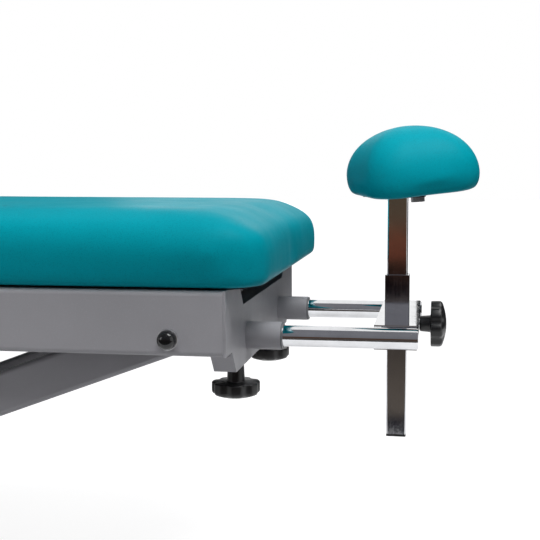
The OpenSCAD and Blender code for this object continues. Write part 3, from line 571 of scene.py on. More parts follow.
def table_cushion(name, node, fall):
    """One of the long cushions, its top falling a little towards the foot end."""
    settings = bpy.context.scene.table_cushions
    lo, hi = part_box(node)
    belly = 36 * MM
    rings = cushion_rings(lo, hi, 55 * MM, (6 * MM, 20 * MM), belly, (72 * MM, 36 * MM),
                          settings.shrink, 1.5 * MM)
    mesh = remeshed(loft(node, rings), settings.voxel)
    mesh = drawn_tight(mesh, lo.z + 2 * MM, 20 * MM, settings.swell)
    for vert in mesh.vertices:
        up = min(1.0, max(0.0, (vert.co.z - lo.z - belly) / (hi.z - lo.z - belly)))
        vert.co.z -= fall * up * (vert.co.x - lo.x) / (hi.x - lo.x)
    upholstered(name, mesh, "top_frame", node, firm=16 * MM)


class TABLE_OT_long_cushions(bpy.types.Operator):
    """Make the leg and chest cushions and draw their covers tight"""

    bl_idname = "table.long_cushions"
    bl_label = "Leg and chest cushions"

    def execute(self, context):
        table_cushion("leg_cushion_cover", "leg_cushion", 5 * MM)
        table_cushion("chest_cushion_cover", "chest_cushion", 1 * MM)
        return {"FINISHED"}


def face_slot(grow, z, *counts):
    """Outline of the face slot, larger by grow, at height z."""
    lo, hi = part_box("head_cushion")
    centre = (lo + hi) / 2 + Vector((4 * MM, 0, 0))
    return flat_ring(centre, z, 105 * MM + grow, 38 * MM + grow, 38 * MM + grow, *counts)


class TABLE_OT_head_cushion(bpy.types.Operator):
    """Make the head cushion with its face slot"""

    bl_idname = "table.head_cushion"
    bl_label = "Head cushion"

    def execute(self, context):
        settings = context.scene.table_cushions
        lo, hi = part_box("head_cushion")
        rings = cushion_rings(lo, hi, 55 * MM, (18 * MM, 20 * MM), 36 * MM, (50 * MM, 44 * MM),
                              settings.shrink, 0.5 * MM)
        block = linked("block", loft("head_cushion", rings))
        walls = ((lo.z - 0.02, 2), (hi.z - 14 * MM, 2), (hi.z - 7 * MM, 4), (hi.z - 2.5 * MM, 9),
                 (hi.z + 0.02, 24))
        cutter = linked("cutter", loft("slot", [face_slot(grow * MM, z) for z, grow in walls]))
        cut = block.modifiers.new("slot", "BOOLEAN")
        cut.object = cutter
        cut.solver = "EXACT"
        mesh = made(block, "head_cushion")
        bpy.data.objects.remove(cutter)
        mesh = drawn_tight(remeshed(mesh, 6 * MM), lo.z + 2 * MM, 20 * MM, settings.swell)
        upholstered("head_cushion_cover", mesh, "head_section", "head_cushion", firm=16 * MM)
        return {"FINISHED"}


class TABLE_OT_foot_pad(bpy.types.Operator):
    """Make the domed pad on the post, its rim sagging on the near side"""

    bl_idname = "table.foot_pad"
    bl_label = "Foot pad"

    def execute(self, context):
        settings = context.scene.table_cushions
        inset = settings.shrink * 0.3
        half, corner, height = 74 * MM - inset, 40 * MM - inset, 85 * MM - inset
        belly, tuck, base = 0.25 * height, 9.5 * MM, 0.8 * MM
        rings = []

        def ring(scale, z):
            rings.append(flat_ring(Vector(), base + z, half * scale, half * scale, corner * scale))

        for step in range(7):
            a = math.pi / 2 * step / 6
            ring(1 - tuck / half * (1 - math.sin(a)), belly * (1 - math.cos(a)))
        for step in range(1, 15):
            a = math.pi / 2 * step / 14.2
            ring(math.cos(a) ** 0.95, belly + (height - belly) * math.sin(a))
        mesh = remeshed(loft("foot_pad", rings), 3.5 * MM)
        mesh = drawn_tight(mesh, base + 1 * MM, 14 * MM, settings.swell * 0.55)
        mesh.transform(Matrix.Rotation(math.radians(23), 4, "Z"))
        for vert in mesh.vertices:
            vert.co.z += self.sag(vert.co, half, belly, height)
            vert.co.x -= 2 * MM * max(0.0, (vert.co.z - belly) / (height - belly))
        mesh.transform(self.place())
        upholstered("foot_pad_cover", mesh, "pad", "foot_pad")
        return {"FINISHED"}

    def place(self):
        """Frame of the pad's underside: on the tilted plate, set back from the bolt."""
        swivel = next(j for j in frame["joints"] if j["name"] == "pad_swivel")
        tilt = math.atan2(-swivel["axis"][0], swivel["axis"][2])
        turn = Matrix.Rotation(-tilt, 4, "Y") @ Matrix.Translation((-5.8 * MM, 0, 0))
        return Matrix.Translation(swivel["pos_m"]) @ turn

    def sag(self, p, half, belly, height):
        """Drop of the rim, which leaves the middle of the underside flat on its plate."""
        out = min(1.0, max(0.0, (p.xy.length / half - 0.5) / 0.42))
        down = 1 - min(1.0, max(0.0, (p.z - belly) / (height - belly)))
        return (2.2 * MM + 0.006 * p.x + 0.088 * p.y) * out * out * (3 - 2 * out) * down


# ---- Knobs and caps ------------------------------------------------------


def eased(corners):
    """Outline through corners of (radius, height, easing), each eased by a small curve."""
    points, steps = [], 4
    for k, (r, h, ease) in enumerate(corners):
        here = Vector((r, h))
        if not ease or k in (0, len(corners) - 1):
            points.append(here)
            continue
        before = here + (Vector(corners[k - 1][:2]) - here).normalized() * ease
        after = here + (Vector(corners[k + 1][:2]) - here).normalized() * ease
        for i in range(steps + 1):
            t = i / steps
            points.append(before * (1 - t) ** 2 + here * 2 * t * (1 - t) + after * t * t)
    return points


def turned(name, place, axis, profile, count, across=None, edge=None):
    """Closed turned solid along axis. edge(radius, angle) may change the radius round it."""
    axis = Vector(axis)
    across = Vector(across) if across else axis.orthogonal().normalized()
    other = axis.cross(across)
    rings = []
    for radius, height in profile:
        ring = []
        for angle in (TAU * i / count for i in range(count)):
            reach = edge(radius, angle) if edge else radius
            out = (across * math.cos(angle) + other * math.sin(angle)) * reach
            ring.append(Vector(place) + axis * height + out)
        rings.append(ring)
    return loft(name, rings)


def hexagon(angle):
    """Radius of a hexagon whose corners are at one, towards angle."""
    return math.cos(TAU / 12) / math.cos(angle % (TAU / 6) - TAU / 12)


def joined(name, meshes):
    """One mesh out of several."""
    whole = bmesh.new()
    for mesh in meshes:
        whole.from_mesh(mesh)
        bpy.data.meshes.remove(mesh)
    mesh = bpy.data.meshes.new(name)
    whole.to_mesh(mesh)
    whole.free()
    return mesh


def lobed_knob(stem, shaft, axis, across):
    """Hand knob in place of a plain one: its hub on the shaft, its head outwards along axis."""
    knob = bpy.context.scene.table_fittings
    radius, lobes, axis = knob.knob / 2, knob.lobes, Vector(axis)
    low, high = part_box(stem + "_knob")
    end = sum(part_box(shaft), Vector()) / 2
    for k in range(3):
        if axis[k]:
            end[k] = low[k] if axis[k] > 0 else high[k]
    dome, rim = 6 * MM, 13.5 * MM
    hub = abs((high - low).dot(axis)) - dome - rim
    seat = hub + rim
    sphere = (radius ** 2 + dome ** 2) / (2 * dome)

    def crown(r):
        return seat + dome - (sphere - math.sqrt(sphere ** 2 - r * r))

    def edge(r, angle):
        turn = (angle * lobes / TAU + 0.5) % 1 - 0.5
        notch = knob.notch * (0.5 + 0.5 * math.cos(TAU / 2 * min(1.0, abs(turn) / 0.31))) ** 0.8
        share = min(1.0, max(0.0, (r / radius - 0.6) / 0.28))
        return r - notch * share * share * (3 - 2 * share)

    corners = [(TIP, 0, 0), (8.6 * MM, 0, 0.5 * MM), (9.9 * MM, 1.4 * MM, 0.7 * MM),
               (10.8 * MM, hub - 0.4 * MM, 1.2 * MM), (radius, hub, 1.6 * MM),
               (radius, seat, 3.2 * MM)]
    corners += [(radius * k, crown(radius * k), 0) for k in (0.86, 0.74, 0.6, 0.46)]
    corners += [(r * MM, crown(r * MM) - sunk * MM, ease * MM)
                for r, sunk, ease in ((9.6, 0, 0.2), (9.2, 0.7, 0.2), (8.8, 0, 0.2), (5, 0, 0))]
    corners += [(TIP, crown(0), 0)]
    mesh = turned(stem + "_grip", end, axis, eased(corners), 20 * lobes, across, edge)
    piece = new_piece(stem + "_grip", mesh, stem, "black_plastic")
    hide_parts(stem + "_knob")


class TABLE_OT_knobs(bpy.types.Operator):
    """Make the four lobed hand knobs"""

    bl_idname = "table.knobs"
    bl_label = "Hand knobs"

    def execute(self, context):
        lobed_knob("near_clamp", "near_clamp_screw", DOWN, (1, 0, 0))
        lobed_knob("far_clamp", "far_clamp_screw", DOWN, (1, 0, 0))
        lobed_knob("post_clamp", "post_clamp_screw", (1, 0, 0), DOWN)
        lobed_knob("head_lock", "head_hinge_pin", (0, -1, 0), (1, 0, 0))
        return {"FINISHED"}


class TABLE_OT_pivot_caps(bpy.types.Operator):
    """Make the domed caps over the ends of the upper pivot bolts, each on a steel ring"""

    bl_idname = "table.pivot_caps"
    bl_label = "Pivot caps"

    def execute(self, context):
        domes, rings = [], []
        for low, high in islands("pivot_caps"):
            middle = (low + high) / 2
            out = 1 if middle.y > 0 else -1
            radius, length = (high.x - low.x) / 2, high.y - low.y
            seat = (middle.x, low.y if out > 0 else high.y, middle.z)
            skirt, brim = 0.3 * length, radius + 1.1 * MM
            ring = [(TIP, 0, 0), (brim, 0, 0.2 * MM), (brim, 1.4 * MM, 0.5 * MM),
                    (radius - 1.5 * MM, 1.6 * MM, 0.2 * MM), (TIP, 1.6 * MM, 0)]
            dome = [(TIP, 0, 0), (radius - 0.4 * MM, 0, 0.3 * MM), (radius, 0.8 * MM, 0.4 * MM)]
            for a in (math.pi / 2 * step / 13.2 for step in range(14)):
                dome.append((radius * math.cos(a) ** 0.85,
                             skirt + (length - skirt) * math.sin(a), 0))
            dome.append((TIP, length, 0))
            for shapes, corners in ((rings, ring), (domes, dome)):
                shapes.append(turned("cap", seat, (0, out, 0), eased(corners), 56, (1, 0, 0)))
        piece = new_piece("pivot_cap_domes", joined("pivot_cap_domes", domes), "top_frame",
                          "black_plastic", "gloss_plastic")
        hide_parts("pivot_caps")
        new_piece("pivot_cap_rings", joined("pivot_cap_rings", rings), "top_frame", "plain_steel")
        return {"FINISHED"}


# ---- Repeated fittings ---------------------------------------------------


def new_tree(name, **inputs):
    """A geometry tree with a path and a finish coming in, named inputs, and a mesh going out."""
    tree = bpy.data.node_groups.new(name, "GeometryNodeTree")
    tree.interface.new_socket("Mesh", in_out="OUTPUT", socket_type="NodeSocketGeometry")
    for label, kind in {"Path": "Geometry", **inputs, "Finish": "Material"}.items():
        tree.interface.new_socket(label, in_out="INPUT", socket_type="NodeSocket" + kind)
    return tree, add(tree, "NodeGroupInput").outputs


def ended(tree, geometry, given):
    """Ends a tree: real geometry, shaded smooth, with its finish."""
    real = add(tree, "GeometryNodeRealizeInstances", {"Geometry": geometry}).outputs[0]
    soft = add(tree, "GeometryNodeSetShadeSmooth", {0: real}).outputs[0]
    done = add(tree, "GeometryNodeSetMaterial", {"Geometry": soft, "Material": given["Finish"]})
    add(tree, "NodeGroupOutput", {0: done.outputs[0]})
    return tree


def row_tree():
    """Copies of an item along a path: its X along the path and its Z along the path's up."""
    tree, given = new_tree("row", Item="Object", Spacing="Float", Turn="Float")
    curve = add(tree, "GeometryNodeMeshToCurve", {"Mesh": given["Path"]}).outputs[0]
    points = add(tree, "GeometryNodeCurveToPoints", {"Curve": curve, "Length": given["Spacing"]},
                 mode="LENGTH")
    up = add(tree, "GeometryNodeInputNamedAttribute", {"Name": "up"}, data_type="FLOAT_VECTOR")
    stand = add(tree, "FunctionNodeAlignRotationToVector", {"Vector": up.outputs[0]}, axis="Z")
    run = add(tree, "FunctionNodeAlignRotationToVector",
              {"Rotation": stand.outputs[0], "Vector": points.outputs["Tangent"]},
              axis="X", pivot_axis="Z")
    least = sums(tree, "MULTIPLY", given["Turn"], -1.0)
    chance = add(tree, "FunctionNodeRandomValue", {2: least, 3: given["Turn"], 8: 7},
                 data_type="FLOAT")
    twist = add(tree, "FunctionNodeAxisAngleToRotation",
                {"Axis": (0, 0, 1), "Angle": chance.outputs[1]})
    twisted = add(tree, "FunctionNodeRotateRotation",
                  {"Rotation": run.outputs[0], "Rotate By": twist.outputs[0]},
                  rotation_space="LOCAL")
    item = add(tree, "GeometryNodeObjectInfo", {"Object": given["Item"]})
    copies = add(tree, "GeometryNodeInstanceOnPoints", {
        "Points": points.outputs["Points"], "Instance": item.outputs["Geometry"],
        "Rotation": twisted.outputs[0]})
    return ended(tree, copies.outputs[0], given)


def bead_tree():
    """A weld bead along a path, rippled where the welder paused."""
    tree, given = new_tree("bead", Width="Float", Pitch="Float", Ripple="Float")
    curve = add(tree, "GeometryNodeMeshToCurve", {"Mesh": given["Path"]}).outputs[0]
    step = sums(tree, "MULTIPLY", given["Pitch"], 0.25)
    even = add(tree, "GeometryNodeResampleCurve", {"Curve": curve, "Length": step}, mode="LENGTH")
    count = add(tree, "GeometryNodeInputIndex").outputs[0]
    wave = add(tree, "ShaderNodeMath", {0: sums(tree, "MULTIPLY", count, TAU / 4)},
               operation="COSINE")
    wave = sums(tree, "MULTIPLY", wave.outputs[0], given["Ripple"])
    where = add(tree, "GeometryNodeInputPosition").outputs[0]
    drift = remap(tree, noise(tree, where, 220.0, 2.0), 0.3, 0.7, 0.9, 1.1)
    half = sums(tree, "MULTIPLY", given["Width"], 0.5)
    section = add(tree, "GeometryNodeCurvePrimitiveCircle", {"Resolution": 8, "Radius": half})
    bead = add(tree, "GeometryNodeCurveToMesh", {
        "Curve": even.outputs[0], "Profile Curve": section.outputs[0],
        "Scale": sums(tree, "ADD", drift, wave)})
    return ended(tree, bead.outputs[0], given)


def thread_tree():
    """A screw thread standing on each point of a path."""
    tree, given = new_tree("screw_thread", Radius="Float", Height="Float", Pitch="Float")
    turns = sums(tree, "DIVIDE", given["Height"], given["Pitch"])
    spiral = add(tree, "GeometryNodeCurveSpiral", {
        "Resolution": 16, "Rotations": turns, "Start Radius": given["Radius"],
        "End Radius": given["Radius"], "Height": given["Height"]})
    half = sums(tree, "MULTIPLY", given["Pitch"], 0.45)
    section = add(tree, "GeometryNodeCurvePrimitiveCircle", {"Resolution": 4, "Radius": half})
    ridge = add(tree, "GeometryNodeCurveToMesh", {
        "Curve": spiral.outputs[0], "Profile Curve": section.outputs[0], "Fill Caps": True})
    copies = add(tree, "GeometryNodeInstanceOnPoints",
                 {"Points": given["Path"], "Instance": ridge.outputs[0]})
    return ended(tree, copies.outputs[0], given)


TREES = {}


def grown(name, loops, tree_maker, closed=True, **values):
    """The plain mesh that a tree makes on loops of (place, up) pairs."""
    if tree_maker not in TREES:
        TREES[tree_maker] = tree_maker()
    tree = TREES[tree_maker]
    path = bpy.data.meshes.new(name)
    verts, edges, ups = [], [], []
    for loop in loops:
        first, count = len(verts), len(loop)
        steps = count if closed else count - 1
        verts += [tuple(place) for place, up in loop]
        ups += [c for place, up in loop for c in up]
        edges += [(first + i, first + (i + 1) % count) for i in range(steps)]
    path.from_pydata(verts, edges, [])
    path.attributes.new("up", "FLOAT_VECTOR", "POINT").data.foreach_set("vector", ups)
    host = linked(name, path)
    maker = host.modifiers.new(tree.name, "NODES")
    maker.node_group = tree
    for socket in tree.interface.items_tree:
        if socket.in_out == "INPUT" and socket.name in values:
            maker[socket.identifier] = values[socket.name]
    mesh = made(host, name)
    if "up" in mesh.attributes:
        mesh.attributes.remove(mesh.attributes["up"])
    return mesh


def row(name, item, loops, body, slot, spacing, turn=0.0, closed=True, finish=None):
    """A piece of many items along loops, each turned at random by up to turn."""
    pattern = linked("item", item)
    mesh = grown(name, loops, row_tree, closed, Item=pattern, Spacing=spacing, Turn=turn,
                 Finish=finish_of(finish or slot))
    bpy.data.objects.remove(pattern)
    new_piece(name, mesh, body, slot, finish)


def wire(points, radius, sides=6):
    """A short bent wire in the XZ plane."""
    rings = []
    for k, point in enumerate(points):
        before, after = Vector(points[max(k - 1, 0)]), Vector(points[min(k + 1, len(points) - 1)])
        ahead = (after - before).normalized()
        out = Vector((-ahead.y, ahead.x))
        rings.append([Vector((point[0] + out.x * radius * math.cos(a), radius * math.sin(a),
                              point[1] + out.y * radius * math.cos(a)))
                      for a in (TAU * i / sides for i in range(sides))])
    return loft("wire", rings)


class TABLE_OT_board_fasteners(bpy.types.Operator):
    """Staple the covers to the undersides of the boards, and screw the boards down"""

    bl_idname = "table.board_fasteners"
    bl_label = "Staples and board screws"

    def execute(self, context):
        fitting = context.scene.table_fittings
        half, leg, lift = fitting.staple / 2, 3 * MM, 0.45 * MM
        crown = [(-half, -leg), (-half, 0), (-half + 0.5 * MM, lift),
                 (half - 0.5 * MM, lift), (half, 0), (half, -leg)]
        for node, body in (("leg_board", "top_frame"), ("chest_board", "top_frame"),
                           ("head_board", "head_section")):
            row(node + "_staples", wire(crown, 0.45 * MM), [self.path(node, 9 * MM, 26 * MM)], body,
                "plain_steel", fitting.staple_spacing, 0.12)
            if body == "top_frame":
                row(node + "_screws", self.screw(), [self.path(node, 45 * MM, 20 * MM)], body,
                    "plain_steel", 160 * MM, 3.0)
        return {"FINISHED"}

    def path(self, node, inset, radius):
        """Round the underside of a board, inset from its edge."""
        low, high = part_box(node)
        half = (high - low) / 2
        ring = flat_ring((low + high) / 2, low.z, half.x - inset, half.y - inset, radius, 6, 8)
        return [(place, DOWN) for place in ring]

    def screw(self):
        """Button head with a six-sided socket."""
        profile = [(TIP, -1 * MM), (4.4 * MM, -1 * MM), (4.6 * MM, 0.5 * MM), (3.9 * MM, 1.8 * MM),
                   (1.9 * MM, 2.6 * MM), (1.8 * MM, 1.1 * MM), (TIP, 0.9 * MM)]

        def socket(r, angle):
            return r * hexagon(angle) if 1 * MM < r < 2 * MM else r

        return turned("screw", (0, 0, 0), UP, profile, 18, (1, 0, 0), socket)


class TABLE_OT_welds(bpy.types.Operator):
    """Run the weld beads round the ends of the cross tubes and under the bracket"""

    bl_idname = "table.welds"
    bl_label = "Weld beads"

    def execute(self, context):
        for node, body in (("base_crossmembers", "base"), ("frame_crossmembers", "top_frame")):
            tubes = [box for box in islands(node) if box[1].y - box[0].y > 0.3]
            wide = min(high.x - low.x for low, high in tubes)
            tall = min(high.z - low.z for low, high in tubes)
            outline = rounded_outline(wide / 2, tall / 2, 3.5 * MM, 5, 6)
            loops = []
            for low, high in tubes:
                x, z = high.x - wide / 2, (low.z + high.z) / 2
                for y in (low.y + 0.6 * MM, high.y - 0.6 * MM):
                    loops.append([(Vector((x + p.x, y, z + p.y)), UP) for p in outline])
            self.beads(node + "_welds", loops, body, "frame_paint", 4.2 * MM)
        sleeve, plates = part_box("post_sleeve"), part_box("bracket_plates")
        half = (sleeve[1].y - sleeve[0].y) / 2
        centre = Vector((sleeve[0].x + half, (sleeve[0].y + sleeve[1].y) / 2))
        under = flat_ring(centre, plates[0].z + 1.6 * MM, half, half, 2 * MM, 3, 4)
        self.beads("sleeve_weld", [[(place, UP) for place in under]], "carriage",
                   "bright_steel", 2.4 * MM)
        return {"FINISHED"}

    def beads(self, name, loops, body, slot, width):
        """Beads of one width along loops, in the finish of what they join."""
        mesh = grown(name, loops, bead_tree, Width=width, Pitch=3.2 * MM, Ripple=0.13,
                     Finish=finish_of(slot))
        new_piece(name, mesh, body, slot)


class TABLE_OT_slot_stitches(bpy.types.Operator):
    """Sew the cover round the face slot"""

    bl_idname = "table.slot_stitches"
    bl_label = "Face slot stitches"

    def execute(self, context):
        cushion = bpy.data.objects["head_cushion_cover"]
        surface = BVHTree.FromObject(cushion, context.evaluated_depsgraph_get())
        loop = []
        for above in face_slot(23 * MM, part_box("head_cushion")[1].z + 0.1, 24, 24):
            place, normal, *_ = surface.ray_cast(above, DOWN)
            if place is None:
                raise RuntimeError("the stitch line runs off the head cushion")
            loop.append((place, normal))
        tack = [(-1.9, -0.5), (-1.3, 0.15), (0, 0.42), (1.3, 0.15), (1.9, -0.5)]
        stitch = wire([(x * MM, z * MM) for x, z in tack], 0.42 * MM)
        row("face_slot_stitches", stitch, [loop], "head_section", "teal_vinyl",
            context.scene.table_fittings.stitch_spacing, 0.03, finish="thread")
        return {"FINISHED"}


class TABLE_OT_pedal_ribs(bpy.types.Operator):
    """Raise the grip ribs on the two pedal pads"""

    bl_idname = "table.pedal_ribs"
    bl_label = "Pedal ribs"

    def execute(self, context):
        pads = islands("pedal_pads")
        loops = [self.tread(low, high) for low, high in pads]
        half = (pads[-1][1].y - pads[-1][0].y) / 2 - 7 * MM
        rise = 0.9 * MM
        rib = wire([(-half, -rise), (-half + 2 * MM, rise), (0, 1.1 * MM),
                    (half - 2 * MM, rise), (half, -rise)], 1.3 * MM, 8)
        rib.transform(Matrix.Rotation(TAU / 4, 4, "Z"))
        row("pedal_ribs", rib, loops, "pedals", "black_rubber", 8 * MM, closed=False)
        return {"FINISHED"}

    def tread(self, low, high):
        """Path along the upper tread of the pad in this box, short of its ends."""
        mesh = frame["nodes"]["pedal_pads"].data
        faces = {}
        for face in mesh.polygons:
            if low.y - MM < face.center.y < high.y + MM and face.normal.z > 0.3:
                key = tuple(round(c, 2) for c in face.normal)
                faces.setdefault(key, []).append(face)
        upper = max(faces.values(), key=lambda group: sum(face.area for face in group))
        normal = upper[0].normal.copy()
        points = [mesh.vertices[i].co for face in upper for i in face.vertices]

        def along(p):
            return p.x * normal.z - p.z * normal.x, p.y

        y = (min(p.y for p in points) + max(p.y for p in points)) / 2
        ends = [Vector((p.x, y, p.z)) for p in (min(points, key=along), max(points, key=along))]
        short = (ends[0] - ends[1]).normalized() * 9 * MM
        return [(ends[0] - short, normal), (ends[1] + short, normal)]


class TABLE_OT_levelling_feet(bpy.types.Operator):
    """Make the levelling feet: rubber discs, threaded studs and lock nuts"""

    bl_idname = "table.levelling_feet"
    bl_label = "Levelling feet"

    def execute(self, context):
        discs, studs, nuts, places = [], [], [], []
        rod, nut = 5.3 * MM, 6 * MM
        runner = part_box("base_runners")[0].z
        for low, high in islands("levelling_feet"):
            place = Vector(((low.x + high.x) / 2, (low.y + high.y) / 2, low.z))
            radius, top = (high.x - low.x) / 2, high.z - low.z
            groove = radius - 1 * MM
            disc = [(TIP, 0, 0), (radius - 1.2 * MM, 0, 1 * MM), (radius, 1.4 * MM, 0.8 * MM),
                    (radius, 4 * MM, 0.4 * MM), (groove, 4.6 * MM, 0.3 * MM),
                    (groove, 5.6 * MM, 0.3 * MM), (radius - 0.6 * MM, 6.2 * MM, 0.4 * MM),
                    (radius - 3 * MM, 11 * MM, 1.6 * MM), (11 * MM, 12.4 * MM, 0.8 * MM),
                    (TIP, 12.6 * MM, 0)]
            discs.append(turned("disc", place, UP, eased(disc), 40))
            stud = [(TIP, 2 * MM, 0), (rod, 2 * MM, 0), (rod, top - 1 * MM, 0),
                    (4.4 * MM, top, 0), (TIP, top, 0)]
            studs.append(turned("stud", place, UP, eased(stud), 20))
            nuts += [self.nut(place, base, nut) for base in (runner - low.z - nut, top - nut)]
            places.append([(place + Vector((0, 0, 12 * MM)), UP)])
        ridges = grown("thread", places, thread_tree, False, Radius=rod, Height=top - 13 * MM,
                       Pitch=1.75 * MM, Finish=finish_of("plain_steel"))
        metal = studs + nuts + [ridges]
        for name, shapes, slot in (("levelling_foot_discs", discs, "black_rubber"),
                                   ("levelling_foot_studs", metal, "plain_steel")):
            piece = new_piece(name, joined(name, shapes), "base", slot)
            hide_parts("levelling_feet")
        return {"FINISHED"}

    def nut(self, place, base, height):
        """Lock nut with its corners turned off."""
        radius, bevel = 9.25 * MM, 0.9 * MM
        rim = radius * 0.9
        profile = [(TIP, base), (rim, base), (radius, base + bevel),
                   (radius, base + height - bevel), (rim, base + height), (TIP, base + height)]
        return turned("nut", place, UP, profile, 36,
                      edge=lambda r, angle: min(r, radius * hexagon(angle)))


# ---- Frame finishes ------------------------------------------------------


class TABLE_OT_frame_finishes(bpy.types.Operator):
    """Give every part of the frame the finish of its slot"""

    bl_idname = "table.frame_finishes"
    bl_label = "Frame finishes"

    def execute(self, context):
        for node, part in frame["nodes"].items():
            slot = part.data.materials[0].name.split(".")[0]
            upright = node in ("post", "post_sleeve")
            part.data.materials.clear()
            part.data.materials.append(finish_of("post_chrome" if upright else slot))
        return {"FINISHED"}


# ---- Studio --------------------------------------------------------------


def foot_end():
    """Middle of the foot face, at the height of the rod axes."""
    low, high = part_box("guide_rods")
    return Vector((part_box("foot_crossmember")[1].x, 0, (low.z + high.z) / 2))


def area_light(name, offset, size, power, mirrored):
    """Soft box, aimed at the foot end and placed from there. Where it isn't mirrored,
    polished surfaces show the glowing sheets of painted reflection in its place."""
    lamp = bpy.data.lights.new(name, "AREA")
    lamp.shape = "RECTANGLE"
    lamp.size, lamp.size_y = size
    lamp.energy = power
    holder = linked(name, lamp)
    holder.location = foot_end() + Vector(offset)
    holder.rotation_euler = (foot_end() - holder.location).to_track_quat("-Z", "Y").to_euler()
    holder.visible_camera = False
    holder.visible_glossy = mirrored


def reflection_sheet(name, corners, faces, paint):
    """A glowing sheet that shows only in polished surfaces: a painted reflection. paint(tree) gives
    its colour.
    """
    mesh = bpy.data.meshes.new(name)
    mesh.from_pydata(corners, [], faces)
    material, tree, _ = new_finish(name)
    # the sheet glows: a painted reflection, seen only in polished surfaces
    glow = add(tree, "ShaderNodeEmission", {"Color": paint(tree)})
    tree.links.new(glow.outputs[0], tree.nodes["Material Output"].inputs["Surface"])
    mesh.materials.append(material)
    cloth = linked(name, mesh)
    for ray in ("camera", "diffuse", "shadow", "transmission", "volume_scatter"):
        setattr(cloth, "visible_" + ray, False)


def plain_reflection_sheet(name, near, far, heights, dark, light):
    """A glowing sheet beyond the table, from near to far, in two tones that drift: a painted
    reflection.
    """
    near, far = foot_end().xy + Vector(near), foot_end().xy + Vector(far)
    corners = [(*near, 0.002), (*far, 0.002), (*far, heights[1]), (*near, heights[0])]
    reflection_sheet(name, corners, [(0, 1, 2, 3)],
          lambda tree: mixed(tree, noise(tree, stretched(tree), 2.0, 3.0), dark, light))


def banded_reflection_sheet():
    """Glowing sheets in front of the table, from the floor over the camera to the ceiling, painted
    in bands along the floor, then up: painted reflections for the polished parts."""
    near, far, top = -0.70, -3.4, 3.0
    run = ((near, 0.002), (far, 0.002), (far, top), (-0.35, top))
    wall, rise = near - far, 3.0
    length = wall + rise * top
    # colours of the painted reflection, along the floor from the table, then up the wall and over
    # the ceiling
    stops = ((0.0, 0.013, 0.014, 0.020), (0.14, 0.018, 0.018, 0.024), (0.24, 0.098, 0.082, 0.070),
             (0.55, 0.088, 0.073, 0.062), (0.95, 0.055, 0.045, 0.038),
             (1.35, 0.100, 0.088, 0.086), (2.0, 0.100, 0.090, 0.088),
             (2.1, 0.004, 0.003, 0.006), (wall + 0.04 * rise, 0.006, 0.004, 0.004),
             (wall + 0.09 * rise, 0.035, 0.018, 0.012), (wall + 0.14 * rise, 0.130, 0.040, 0.024),
             (wall + 0.23 * rise, 0.120, 0.045, 0.026), (wall + 0.30 * rise, 0.085, 0.060, 0.040),
             (wall + 0.50 * rise, 0.070, 0.055, 0.035), (wall + 0.65 * rise, 0.17, 0.17, 0.19),
             (length, 0.20, 0.20, 0.22))

    def bands(tree):
        where = add(tree, "ShaderNodeSeparateXYZ", {"Vector": stretched(tree)}).outputs
        along = sums(tree, "SUBTRACT", sums(tree, "MULTIPLY", where["Z"], rise), where["Y"])
        ramp = add(tree, "ShaderNodeValToRGB", {"Fac": remap(tree, along, -near, length - near)})
        elements = ramp.color_ramp.elements
        while len(elements) < len(stops):
            elements.new(0.5)
        for element, (place, *colour) in zip(elements, stops):
            element.position = place / length
            element.color = (*colour, 1)
        return ramp.outputs["Color"]

    reflection_sheet("drapes", [(x, y, z) for y, z in run for x in (-12.0, 4.5)],
          [(2 * k, 2 * k + 1, 2 * k + 3, 2 * k + 2) for k in range(len(run) - 1)], bands)


